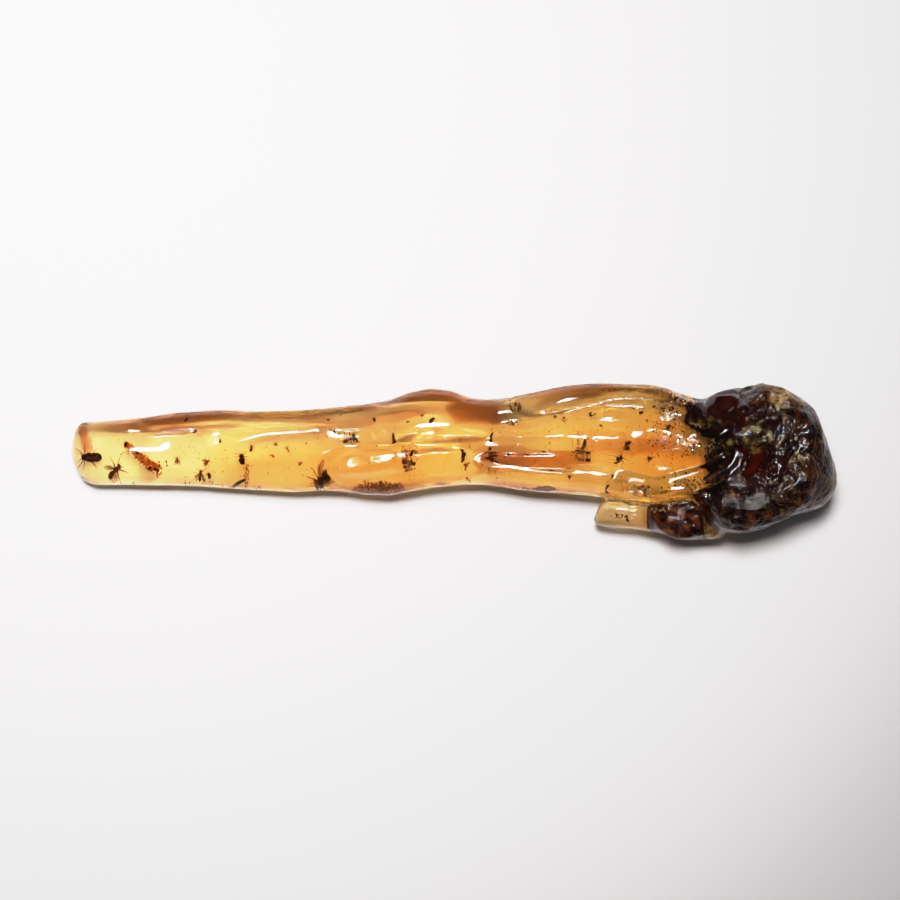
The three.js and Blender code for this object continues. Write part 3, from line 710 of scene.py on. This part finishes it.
class Heap:
    """Small shapes gathered for one mesh, each with its material's number."""

    def __init__(self):
        self.points, self.faces, self.numbers = [], [], []

    def add(self, shape, numbers=0):
        """Add points and faces, with one number for them all or one for each face."""
        points, faces = shape
        start = len(self.points)
        self.points.extend(points)
        self.faces.extend([[start + v for v in face] for face in faces])
        self.numbers.extend(np.broadcast_to(numbers, len(faces)).tolist())

    def moved(self, centre, heading, scale, tilt=0.0):
        """Turn the heap by its heading about Z and tilt it about its long axis; scale and move it."""
        turn = Matrix.Rotation(math.radians(heading), 3, "Z") @ Matrix.Rotation(math.radians(tilt), 3, "X")
        self.points = list(np.array(self.points) @ np.array(turn).T * scale + np.asarray(centre))

    def piece(self, name, materials, skin, margin=0.3):
        """An object of the whole heap, kept inside the skin."""
        mesh = mesh_from(name, kept_inside(self.points, skin, margin), self.faces)
        for material in materials:
            mesh.materials.append(material)
        mesh.polygons.foreach_set("material_index", np.array(self.numbers, np.int32))
        shade_smooth(mesh)
        mesh.update()
        return new_object(name, mesh)


# Animals, in body lengths: segments as middle along the body, length, width, height and banding

PLANS = {
    "fly": {"body": [(0.40, 0.17, 0.24, 0.20, 0), (0.16, 0.36, 0.31, 0.30, 0),
                     (-0.22, 0.54, 0.28, 0.23, 0.10)],
            "legs": 3, "reach": 0.62, "feeler": 0.14, "wings": (0.78, 0.28, 152)},
    "beetle": {"body": [(0.43, 0.16, 0.28, 0.15, 0), (0.27, 0.26, 0.40, 0.22, 0),
                        (-0.13, 0.74, 0.50, 0.30, 0.03)],
               "legs": 3, "reach": 0.48, "feeler": 0.26, "wings": None},
    "ant": {"body": [(0.38, 0.24, 0.23, 0.19, 0), (0.12, 0.30, 0.14, 0.15, 0.08),
                     (-0.06, 0.12, 0.07, 0.10, 0), (-0.30, 0.40, 0.25, 0.23, 0.08)],
            "legs": 3, "reach": 0.60, "feeler": 0.36, "wings": None},
    "bee": {"body": [(0.38, 0.20, 0.30, 0.26, 0), (0.12, 0.37, 0.39, 0.37, 0),
                     (-0.26, 0.53, 0.36, 0.32, 0.08)],
            "legs": 3, "reach": 0.60, "feeler": 0.20, "wings": (0.70, 0.26, 150)},
    "spider": {"body": [(0.22, 0.42, 0.34, 0.22, 0), (-0.24, 0.58, 0.44, 0.36, 0.03)],
               "legs": 4, "reach": 1.15, "feeler": 0.16, "wings": None},
}
FEELER_RADII = (0.018, 0.013, 0.010)
LEG_RADII = (0.026, 0.032, 0.022, 0.016, 0.011)

# Each sealed animal's node: plan, heading in degrees, length in millimetres, winged, colour number.

ANIMALS = {
    "beetle_at_cut_end": ("beetle", 178, 5.6, False, 0),
    "fly_near_cut_end": ("fly", 35, 4.6, True, 0),
    "midge": ("fly", 80, 3.2, True, 0),
    "oval_bug": ("beetle", 95, 3.8, False, 0),
    "black_bee": ("bee", 212, 6.4, True, 0),
    "ant": ("ant", 18, 4.2, False, 0),
    "winged_ant": ("ant", 10, 3.8, True, 0),
    "moth": ("fly", 165, 4.8, True, 1),
    "wasp": ("ant", 340, 5, True, 0),
    "spider": ("spider", 30, 2.6, False, 0),
}

# Smaller sealed bits: x, y, size in millimetres, kind.

SMALL_BITS = [
    (-77, 0.2, 2, "fly"), (-76.2, -3.2, 1.6, "speck"), (-90.1, 0, 1.2, "speck"),
    (-86.3, 0.6, 1.8, "fly"), (-72.5, 6, 1.2, "speck"), (-63, 4.7, 1.9, "beetle"),
    (-55.1, 5.7, 1.2, "fly"), (-51.3, 4.1, 1.6, "ant"), (-56.4, 2.2, 1.2, "speck"),
    (-45.4, 6, 0.9, "speck"), (-47.3, -0.3, 1.3, "fly"), (-42.5, -5.4, 2, "beetle"),
    (-38.4, 12.3, 1, "speck"), (-34.7, 14.2, 0.8, "speck"), (-23, 4.4, 1.2, "beetle"),
    (-23.6, 11.3, 0.8, "speck"), (-17.4, 7.6, 2.3, "beetle"), (-13, 11, 1, "speck"),
    (-8.6, 13.2, 1.2, "fly"), (-6, 11.6, 2, "beetle"), (-2.6, 10.7, 1.2, "ant"),
    (-3, -6.6, 2, "ant"), (3, 3.2, 2.2, "beetle"), (4.4, 0.2, 2, "fly"), (5.4, -4.4, 2, "ant"),
    (12.9, 18.9, 1.1, "speck"), (12.9, 6.9, 1.3, "speck"), (19.5, 16.4, 1.6, "beetle"),
    (21.6, 17, 1.2, "speck"), (18.3, 1, 1.8, "beetle"), (24, -0.6, 1.6, "fly"),
    (29.6, 4.8, 1.4, "speck"), (33.2, 13, 1, "fly"), (41.9, 6, 1.9, "beetle"),
    (47.4, 10.2, 1.2, "speck"), (55.4, 6.3, 1.8, "beetle"), (63.6, 1.3, 1.6, "fly"),
    (60, 13.6, 1.4, "speck"), (68, 9.6, 1.6, "beetle"), (57.6, 15.6, 1.2, "speck"),
    (-100.4, -4.8, 1.4, "ant"), (-107, -7.4, 1, "speck"), (-29.4, 7.2, 0.9, "speck"),
    (-11.4, 4.9, 1.2, "speck"), (50.9, -4.6, 1.2, "speck"), (38, -2.2, 1.4, "speck"),
    (-83.6, 11.8, 1.6, "beetle"), (-80.6, 9.6, 1.2, "speck"),
]

# Clouds of specks: middle in plan, half lengths, turn, depth share, count, largest speck, rusty share.

SPECK_CLOUDS = [
    ((-23, -8.2), (8.4, 2.3), 6, (0.06, 0.4), 1500, 0.5, 0.8),
    ((-26.8, -6.2), (3, 1.6), 30, (0.35, 0.7), 90, 0.4, 0.7),
    ((-64.4, -2.8), (0.9, 3.2), 0, (0.4, 0.6), 90, 0.34, 0.5),
    ((-61, -6.6), (1.4, 1.2), 0, (0.4, 0.6), 60, 0.34, 0.5),
    ((-10, -9), (8, 0.9), 10, (0.4, 0.7), 90, 0.3, 0.12),
    ((26, -7.2), (7, 1.6), -12, (0.35, 0.6), 130, 0.36, 0.12),
    ((48, -9), (3, 1.4), 10, (0.3, 0.5), 90, 0.36, 0.12),
    ((-78, -5.4), (8, 1.6), -8, (0.3, 0.6), 40, 0.36, 0.12),
    ((70, 9), (9, 8), 0, (0.15, 0.6), 260, 0.5, 0.12),
    ((74, -8), (8, 5), 0, (0.15, 0.5), 260, 0.45, 0.12),
    ((-16, 2), (100, 9), -1, (0.15, 0.8), 420, 0.26, 0.12),
    ((40, 5), (40, 12), 0, (0.15, 0.8), 260, 0.3, 0.12),
]

# Clusters of cracked flakes painted pale, as painted glints of the cracks: middle in plan, half lengths,
# turn, count, largest flake.

FLAKE_CLUSTERS = [
    ((-36.9, 8.8), (2.4, 1.4), 10, 34, 0.75), ((19.2, 11.8), (2.8, 1.4), 20, 34, 0.75),
    ((35.3, 12.9), (1, 0.8), 0, 12, 0.7), ((43.8, 13.9), (1.6, 0.7), 0, 16, 0.7),
    ((66.2, 16), (3.4, 1.8), 20, 44, 0.8), ((59.9, -9.1), (3.2, 1.8), -10, 44, 0.8),
    ((72.6, 19), (4.2, 1.4), -20, 50, 0.9), ((80, 12), (5, 1.2), 4, 60, 0.9),
    ((79, 4.4), (5.4, 2), 14, 70, 0.8), ((54, -17.3), (3.6, 0.8), 0, 26, 0.7),
    ((-101, 2.6), (5, 1), 0, 20, 0.5), ((66, -15.2), (3, 1), 0, 24, 0.7),
]


def make_flakes(skin, materials, random):
    """Little crumpled cracks and films just under the skin; most are painted pale, a painted glint for the
    light that cracks catch.
    """
    heap = Heap()
    for (x, y), half_lengths, turn, count, largest in FLAKE_CLUSTERS:
        for _ in range(count):
            along, across = random.normal(0, 0.5, 2) * half_lengths
            place = inside_at(skin, *turned_place(x, y, along, across, turn), random.uniform(0.06, 0.2))
            size = largest * random.uniform(0.3, 1.0)
            if place is None:
                continue
            points, faces = grain((0, 0, 0), size, random, 2.6)
            points[:, 2] *= 0.25
            tilt = np.array(Matrix.Rotation(random.normal(0, 0.5), 3, "X"))
            heap.add((points @ tilt.T + place, faces), int(random.uniform() < 0.3))
    piece = heap.piece("crack_painted_glints", materials, skin, 0.25)
    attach(piece, "root")


def animal(plan_name, winged, colour, random):
    """One animal one unit long, facing +X: eggs for its body, bent tubes for its limbs, thin wings."""
    plan = PLANS[plan_name]
    heap = Heap()
    for middle, length, width, height, banding in plan["body"]:
        heap.add(ball((middle, 0, 0), (length, width, height), 14, 10, banding), colour)
    head, chest = plan["body"][0], plan["body"][1]
    if plan_name == "spider":
        chest = head
    for side in (-1, 1):
        eye = (head[0] + head[1] * 0.2, side * head[2] * 0.36, head[3] * 0.16)
        heap.add(ball(eye, (head[1] * 0.42, head[2] * 0.34, head[3] * 0.45), 8, 6), colour)
        feeler = plan["feeler"]
        root = np.array([head[0] + head[1] * 0.4, side * head[2] * 0.2, head[3] * 0.1])
        bend = root + np.array([feeler * 0.35, side * feeler * 0.4, feeler * 0.2])
        tip = bend + np.array([feeler * 0.7, side * feeler * 0.25, -feeler * 0.2])
        heap.add(tube([root, bend, tip], FEELER_RADII), colour)
        for pair in range(plan["legs"]):
            swing = (pair - (plan["legs"] - 1) / 2) / max(plan["legs"] - 1, 1)
            reach = plan["reach"] * random.uniform(0.8, 1.1)
            root = np.array([chest[0] - swing * chest[1] * 0.7, side * chest[2] * 0.3, -chest[3] * 0.2])
            aim = math.radians(-swing * 100 + random.uniform(-16, 16))
            out = np.array([math.sin(aim), side * math.cos(aim), 0.0])
            back = np.array([-0.35 * np.sign(swing - 0.1), side * 0.5, 0.0])
            knee = root + out * reach * 0.42 + WORLD_UP * reach * 0.14
            ankle = knee + (out + back * 0.4) * reach * 0.36 - WORLD_UP * reach * 0.2
            foot = ankle + (out * 0.5 + back) * reach * 0.26 - WORLD_UP * reach * 0.03
            heap.add(tube([root, (root + knee) / 2, knee, ankle, foot], LEG_RADII), colour)
        if winged:
            length, width, turn = plan["wings"] or PLANS["fly"]["wings"]
            for scale, extra in ((1.0, 0.0), (0.7, 16.0)):
                heading = math.radians(turn - extra + random.uniform(-8, 8)) * side
                root = (chest[0], side * chest[2] * 0.25, chest[3] * 0.36)
                heap.add(blade(root, heading, length * scale, width * scale, 0.012), 2)
    return heap


def make_animals(skin, materials, random):
    for node, (plan_name, heading, length, winged, colour) in ANIMALS.items():
        low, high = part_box(node)
        centre = np.array((low + high) / 2) / MM
        heap = animal(plan_name, winged, colour, random)
        heap.moved(centre, heading, length, random.uniform(-14, 14))
        piece = heap.piece(node + "_body", materials, skin)
        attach(piece, "root")
        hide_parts(node)


def make_small_bits(skin, materials, random):
    """Midges, tiny beetles and flecks too small to be solids of their own."""
    heap = Heap()
    for x, y, size, kind in SMALL_BITS:
        place = inside_at(skin, x, y, random.uniform(0.28, 0.55))
        heading = random.uniform(0, 360)
        colour = int(random.uniform() < 0.65)
        if place is None:
            continue
        if kind == "speck":
            for _ in range(3):
                offset = random.normal(0, size * 0.2, 3)
                heap.add(grain(place + offset, size * random.uniform(0.4, 0.8), random), colour)
            continue
        small = animal(kind, kind == "fly", colour, random)
        small.moved(place, heading, size * 1.15, random.uniform(-40, 40))
        heap.add((small.points, small.faces), small.numbers)
    piece = heap.piece("small_midges_and_beetles", materials, skin)
    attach(piece, "root")


def make_specks(skin, materials, random):
    heap = Heap()
    for (x, y), (half_x, half_y), turn, (high, low), count, largest, rusty in SPECK_CLOUDS:
        for _ in range(count):
            angle = random.uniform(0, 2 * math.pi)
            reach = random.uniform() ** 0.6
            along, across = math.cos(angle) * half_x * reach, math.sin(angle) * half_y * reach
            place = inside_at(skin, *turned_place(x, y, along, across, turn), random.uniform(high, low))
            size = largest * random.uniform(0.25, 1.0) ** 2 + 0.05
            number = int(random.uniform() < rusty)
            if place is not None:
                heap.add(grain(place, size, random), number)
    piece = heap.piece("bark_dust_specks", materials, skin, 0.2)
    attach(piece, "root")


def make_beads(debris, skin, materials, random):
    """Round pale and ochre granules stuck on the debris."""
    mesh = debris.data
    points, normals = points_of(mesh), normals_of(mesh)
    heap = Heap()
    placed = 0
    while placed < GRANULE_COUNT:
        i = int(random.uniform(0, len(points)))
        x, y, _ = points[i]
        wanted = smoothstep(84, 92, x) * (0.25 + 0.75 * smoothstep(8, -4, y)) * (normals[i][2] > 0.0)
        if random.uniform() > wanted:
            continue
        size = 0.35 + 1.0 * random.uniform() ** 4
        heap.add(grain(points[i] + normals[i] * size * 0.1, size, random, 1.2), int(random.uniform() < 0.5))
        placed += 1
    piece = heap.piece("ochre_granules", materials, skin, 0.12)
    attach(piece, "root")


def make_frass_string(skin, materials, random):
    """The string of orange crumbs near the cut end, and its dark flecks."""
    low, high = in_millimetres(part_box("bark_crumb_string"))
    middle = (low[2] + high[2]) / 2
    start = np.array([low[0] + 0.6, high[1] - 0.8, middle])
    end = np.array([high[0] - 0.8, low[1] + 1.2, middle])
    heap = Heap()
    for _ in range(CRUMB_COUNT):
        share = random.uniform(-0.05, 1.1)
        spread = 0.25 + 0.45 * max(share, 0.0)
        place = start + (end - start) * share + random.normal(0, spread, 3) * np.array([1, 1, 0.5])
        number = 1 if random.uniform() < 0.85 else 0
        heap.add(grain(place, random.uniform(0.3, 0.8), random), number)
    piece = heap.piece("frass_string", materials, skin)
    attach(piece, "root")
    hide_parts("bark_crumb_string")


def make_splinter(skin, materials, random):
    """The dark splinter, as a few fibres side by side."""
    low, high = in_millimetres(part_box("wood_splinter"))
    middle = (low + high) / 2
    heap = Heap()
    for strand in range(STRAND_COUNT):
        ends = np.array([[low[0], low[1]], [high[0], high[1]]]) + random.normal(0, 0.16, (2, 2))
        shares = np.linspace(0.0, 1.0, 7)
        path = [(*(ends[0] + (ends[1] - ends[0]) * share), middle[2] + math.sin(share * 4 + strand) * 0.14)
                for share in shares]
        heap.add(tube(path, 0.05 + 0.13 * np.sin(np.pi * np.clip(shares, 0.06, 0.94)), 6), 0)
    piece = heap.piece("splinter_fibres", materials, skin)
    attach(piece, "root")
    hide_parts("wood_splinter")


def make_leaf_flake(skin, materials):
    """A few thin shreds of leaf that spread from one end."""
    low, high = in_millimetres(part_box("leaf_flake"))
    middle = (low + high) / 2
    length = high[0] - low[0]
    heap = Heap()
    for share, width, turn in ((1.0, 0.42, 6), (0.7, 0.34, -14), (0.5, 0.3, 26)):
        root = middle - np.array([length * 0.46, 0.3 * turn / 14, 0.0])
        heap.add(blade(root, math.radians(turn), length * share * 0.92, length * width * 0.6, 0.1, 0.03), 1)
    piece = heap.piece("leaf_shreds", materials, skin)
    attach(piece, "root")
    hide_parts("leaf_flake")


def make_flows(name, paths, skin, material):
    """Darker runs of resin inside the clear one, joined so that none lies in another."""
    heap = Heap()
    for path, share, half_width, half_height in paths:
        places = [inside_at(skin, x, y, share) for x, y in smooth_curve(path)]
        found = np.array([place for place in places if place is not None])
        along = np.linspace(0.0, 1.0, len(found))
        taper = 0.04 + (smoothstep(0.0, 0.3, along) * smoothstep(1.0, 0.7, along)) ** 0.8
        round_tube, faces = tube(found, half_width * taper, FLOW_SIDES)
        centres = np.repeat(found, FLOW_SIDES, axis=0)
        flat = round_tube - centres
        upness = flat[:, 2] / np.repeat(half_width * taper, FLOW_SIDES)
        flat[:, 2] *= np.abs(upness) * half_height / half_width
        heap.add((centres + flat, faces))
    joined = mesh_from("flows", np.array(heap.points), heap.faces)
    mesh = voxel_remeshed(name, joined, FLOW_VOXEL)
    edges = edges_of(mesh)
    points = smoothed(points_of(mesh), edges, 3)
    set_points(mesh, points)
    wander = 0.5 * noise_at(points, 1.8, 70.0, (7.0, 1.0, 1.0)) + 0.3 * noise_at(points, 5.0, 75.0)
    points = kept_inside(points + normals_of(mesh) * wander[:, None], skin, 0.35)
    set_points(mesh, points)
    shade_smooth(mesh)
    piece = new_object(name, mesh)
    give_material(piece, material)
    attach(piece, "root")


# Materials


def principled(name, roughness, gloss=0.5):
    """A new material of that roughness and gloss, its tree and its surface shader."""
    material = bpy.data.materials.new(name)
    material.use_nodes = True
    tree = material.node_tree
    shader = tree.nodes["Principled BSDF"]
    shader.inputs["Roughness"].default_value = roughness
    shader.inputs["Specular IOR Level"].default_value = gloss
    return material, tree, shader


def add_node(tree, kind, **settings):
    node = tree.nodes.new(kind)
    for key, value in settings.items():
        setattr(node, key, value)
    return node


def object_noise(tree, scale, detail=3.0, stretch=None):
    """Noise on object coordinates; scale is in repeats a metre."""
    place = add_node(tree, "ShaderNodeTexCoord").outputs["Object"]
    if stretch:
        mapping = add_node(tree, "ShaderNodeMapping")
        mapping.inputs["Scale"].default_value = stretch
        tree.links.new(place, mapping.inputs["Vector"])
        place = mapping.outputs["Vector"]
    made = add_node(tree, "ShaderNodeTexNoise")
    made.inputs["Scale"].default_value = scale
    made.inputs["Detail"].default_value = detail
    tree.links.new(place, made.inputs["Vector"])
    return made.outputs["Fac"]


def colour_ramp(tree, value, stops):
    ramp = add_node(tree, "ShaderNodeValToRGB")
    while len(ramp.color_ramp.elements) < len(stops):
        ramp.color_ramp.elements.new(0.5)
    for element, (place, colour) in zip(ramp.color_ramp.elements, stops):
        element.position = place
        element.color = (*colour, 1.0)
    tree.links.new(value, ramp.inputs["Fac"])
    return ramp.outputs["Color"]


def add_bump(tree, shader, height, strength, distance):
    bump = add_node(tree, "ShaderNodeBump")
    bump.inputs["Strength"].default_value = strength
    bump.inputs["Distance"].default_value = distance
    tree.links.new(height, bump.inputs["Height"])
    tree.links.new(bump.outputs["Normal"], shader.inputs["Normal"])


def zone_value(tree, name):
    """The value that the mesh itself carries under that name."""
    return add_node(tree, "ShaderNodeAttribute", attribute_name=name).outputs["Fac"]


def see_through(name, ior, tint, density):
    """A see-through material that tints the light by how far it passes inside."""
    material, tree, shader = principled(name, 0.0)
    shader.inputs["Base Color"].default_value = (1.0, 1.0, 1.0, 1.0)
    shader.inputs["Transmission Weight"].default_value = 1.0
    shader.inputs["IOR"].default_value = ior
    absorption = add_node(tree, "ShaderNodeVolumeAbsorption")
    absorption.inputs["Color"].default_value = tint
    absorption.inputs["Density"].default_value = density
    tree.links.new(absorption.outputs["Volume"], tree.nodes["Material Output"].inputs["Volume"])
    return material, tree, shader


def resin_material():
    """Clear resin with faint ripples and, on the lumpy parts, fine pits."""
    material, tree, shader = see_through("clear_resin", RESIN_IOR, RESIN_TINT, RESIN_DENSITY)
    tree.links.new(zone_value(tree, "dullness"), shader.inputs["Roughness"])
    tree.links.new(zone_value(tree, "gloss"), shader.inputs["Specular IOR Level"])
    ripple = object_noise(tree, 260.0, 2.0, (0.35, 1.0, 1.0))
    pitted = object_noise(tree, 900.0, 2.0)
    pits = add_node(tree, "ShaderNodeMath", operation="MULTIPLY")
    tree.links.new(pitted, pits.inputs[0])
    tree.links.new(zone_value(tree, "pitted"), pits.inputs[1])
    waves = add_node(tree, "ShaderNodeMath", operation="MULTIPLY_ADD")
    tree.links.new(ripple, waves.inputs[0])
    waves.inputs[1].default_value = RIPPLE_SHARE
    tree.links.new(pits.outputs[0], waves.inputs[2])
    add_bump(tree, shader, waves.outputs[0], 1.0, RIPPLE_DEPTH)
    return material


def floor_material():
    material, tree, shader = principled("studio_sweep", 0.7, 0.15)
    paper = object_noise(tree, 400.0, 2.0)
    shade = colour_ramp(tree, paper, [(0.0, tuple(c * 0.99 for c in FLOOR_WHITE)), (1.0, FLOOR_WHITE)])
    tree.links.new(shade, shader.inputs["Base Color"])
    return material


def mix_by(tree, share, low, high):
    """A colour that goes from low to high as share goes from 0 to 1."""
    mix = add_node(tree, "ShaderNodeMix", data_type="RGBA")
    for place, value in ((0, share), (6, low), (7, high)):
        tree.links.new(value, mix.inputs[place])
    return mix.outputs[2]


def debris_material():
    """Soil and bark soaked in resin: near black, with red, greenish, pale and grey zones."""
    material, tree, shader = principled("bark_and_soil", 0.55, 0.0)
    grain_noise = object_noise(tree, 420.0, 8.0)
    patch_noise = object_noise(tree, 150.0, 4.0)
    soil = colour_ramp(tree, grain_noise, [
        (0.30, (0.004, 0.002, 0.001)), (0.47, (0.020, 0.006, 0.002)), (0.57, (0.060, 0.016, 0.005)),
        (0.67, (0.20, 0.074, 0.022)), (0.76, (0.55, 0.34, 0.14))])
    blood = colour_ramp(tree, patch_noise, [
        (0.35, (0.018, 0.003, 0.0015)), (0.52, (0.050, 0.007, 0.003)), (0.70, (0.070, 0.011, 0.005))])
    window = colour_ramp(tree, grain_noise, [
        (0.38, (0.020, 0.010, 0.004)), (0.52, (0.11, 0.065, 0.018)), (0.66, (0.42, 0.31, 0.10))])
    crust = colour_ramp(tree, grain_noise, [
        (0.40, (0.035, 0.016, 0.006)), (0.49, (0.24, 0.14, 0.06)), (0.56, (0.58, 0.42, 0.20)),
        (0.64, (0.95, 0.80, 0.50))])
    rim = colour_ramp(tree, grain_noise, [
        (0.36, (0.05, 0.035, 0.018)), (0.52, (0.24, 0.17, 0.09)), (0.70, (0.60, 0.48, 0.28))])
    red_soil = colour_ramp(tree, grain_noise, [
        (0.34, (0.014, 0.005, 0.002)), (0.46, (0.080, 0.020, 0.006)), (0.56, (0.18, 0.046, 0.013)),
        (0.68, (0.36, 0.13, 0.038))])
    colour = soil
    zones = {"red_soil": red_soil, "oxblood": blood, "window": window, "crust": crust, "rim": rim}
    for name, shade in zones.items():
        colour = mix_by(tree, zone_value(tree, name), colour, shade)
    tree.links.new(colour, shader.inputs["Base Color"])
    add_bump(tree, shader, grain_noise, 0.6, 0.0006)
    return material


def speckled_material(name, dark, light, scale=900.0, roughness=0.4, gloss=0.05):
    """A dull surface under resin whose colour wanders from dark to light."""
    material, tree, shader = principled(name, roughness, gloss)
    shade = object_noise(tree, scale, 4.0)
    tree.links.new(colour_ramp(tree, shade, [(0.35, dark), (0.70, light)]), shader.inputs["Base Color"])
    add_bump(tree, shader, shade, 0.3, 0.0002)
    return material


def wing_material():
    material, tree, shader = principled("wing_membrane", 0.3, 0.05)
    shade = object_noise(tree, 2600.0, 3.0)
    tree.links.new(colour_ramp(tree, shade, [(0.4, (0.24, 0.11, 0.035)), (0.6, (0.60, 0.36, 0.13))]),
                   shader.inputs["Base Color"])
    shader.inputs["Alpha"].default_value = 0.3
    return material


def flow_material(name, tint, density):
    """Darker resin inside the clear resin: it only absorbs, so it has no border of its own."""
    return see_through(name, 1.0, tint, density)[0]


# Stage


def set_tone(view):
    """A soft shoulder for the brightest tones, as in a bright studio photograph."""
    view.use_curve_mapping = True
    mapping = view.curve_mapping
    mapping.white_level = (TONE_WHITE,) * 3
    for curve, places in ((mapping.curves[3], TONE_CURVE), (mapping.curves[0], TONE_RED)):
        for place in places:
            curve.points.new(*place)
    mapping.update()


def make_stage():
    size = FLOOR_SIZE / 2
    corners = [(-size, -size, 0.0), (size, -size, 0.0), (size, size, 0.0), (-size, size, 0.0)]
    floor = new_object("studio_floor", mesh_from("studio_floor", np.array(corners), [[0, 1, 2, 3]]))
    floor.data.materials.append(floor_material())

    lamp = bpy.data.lights.new("key_softbox", "AREA")
    lamp.shape = "RECTANGLE"
    lamp.size, lamp.size_y = (side * MM for side in KEY_SIZE)
    lamp.energy = KEY_WATTS
    lamp.spread = math.radians(KEY_SPREAD)
    key = new_object("key_softbox", lamp)
    key.location = Vector(KEY_PLACE) * MM
    key.rotation_euler = (Vector(KEY_AIM) - Vector(KEY_PLACE)).to_track_quat("-Z", "Y").to_euler()

    scene = bpy.context.scene
    world = bpy.data.worlds.new("studio")
    scene.world = world
    world.use_nodes = True
    tree = world.node_tree
    direction = add_node(tree, "ShaderNodeTexCoord").outputs["Generated"]
    parts = add_node(tree, "ShaderNodeSeparateXYZ")
    tree.links.new(direction, parts.inputs["Vector"])
    sky = colour_ramp(tree, parts.outputs["Z"], [
        (0.0, (DOME_HORIZON,) * 3), (0.35, (DOME_HORIZON,) * 3), (1.0, (DOME_ZENITH,) * 3)])
    tree.links.new(sky, tree.nodes["Background"].inputs["Color"])

    camera_data = bpy.data.cameras.new("photo_camera")
    camera_data.sensor_width = SENSOR
    camera_data.lens = SENSOR * CAMERA_DISTANCE / PHOTO_WIDTH
    camera_data.clip_end = 20.0
    camera = new_object("photo_camera", camera_data)
    camera.location = Vector((*PHOTO_CENTRE, PHOTO_PLANE + CAMERA_DISTANCE)) * MM
    bpy.context.scene.camera = camera
    scene.view_settings.view_transform = "Standard"
    set_tone(scene.view_settings)
    scene.cycles.sample_clamp_indirect = INDIRECT_CLAMP
    scene.cycles.max_bounces = GLASS_BOUNCES
    scene.cycles.transmission_bounces = GLASS_BOUNCES


def main():
    make_stage()
    random = np.random.default_rng(SEED)
    resin, skin = make_resin()
    give_material(resin, resin_material())
    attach(resin, "root")
    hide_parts("copal_upper", "copal_lower")

    soil = debris_material()
    for name, (node, reach, fringe) in DEBRIS_PIECES.items():
        debris = make_debris(name, node, skin, reach, fringe)
        give_material(debris, soil)
        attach(debris, "root")
        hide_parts(node)
        if name == "head_debris":
            ochre = speckled_material("ochre_grit", (0.16, 0.08, 0.03), (0.55, 0.36, 0.18))
            umber = speckled_material("umber_grit", (0.03, 0.012, 0.006), (0.20, 0.10, 0.04))
            make_beads(debris, skin, [ochre, umber], random)

    black = speckled_material("dark_chitin", (0.022, 0.008, 0.003), (0.12, 0.038, 0.012))
    brown = speckled_material("brown_chitin", (0.13, 0.036, 0.008), (0.42, 0.14, 0.03))
    chitin = [black, brown, wing_material()]
    make_animals(skin, chitin, random)
    make_small_bits(skin, chitin, random)
    bark = speckled_material("bark_dust", (0.03, 0.010, 0.004), (0.14, 0.05, 0.015))
    rust = speckled_material("rusty_crumbs", (0.50, 0.09, 0.010), (0.95, 0.32, 0.05))
    ochre_dust = speckled_material("ochre_dust", (0.30, 0.085, 0.018), (0.75, 0.30, 0.065))
    make_specks(skin, [bark, ochre_dust], random)
    make_frass_string(skin, [bark, rust], random)
    make_splinter(skin, [bark, rust], random)
    leaf = speckled_material("leaf_brown", (0.12, 0.035, 0.008), (0.40, 0.15, 0.035))
    make_leaf_flake(skin, [bark, leaf])
    # The pale colour of the crack flakes is a painted glint.
    pale = speckled_material("pale_crack_painted_glint", (0.45, 0.30, 0.10), (0.95, 0.85, 0.55), 1500.0, 0.3, 0.1)
    make_flakes(skin, [pale, bark], random)
    make_flows("brown_flows", FLOW_PATHS, skin, flow_material("brown_resin", FLOW_TINT, FLOW_DENSITY))
    golden = flow_material("golden_resin", GOLDEN_TINT, GOLDEN_DENSITY)
    make_flows("golden_flows", GOLDEN_PATHS, skin, golden)


main()
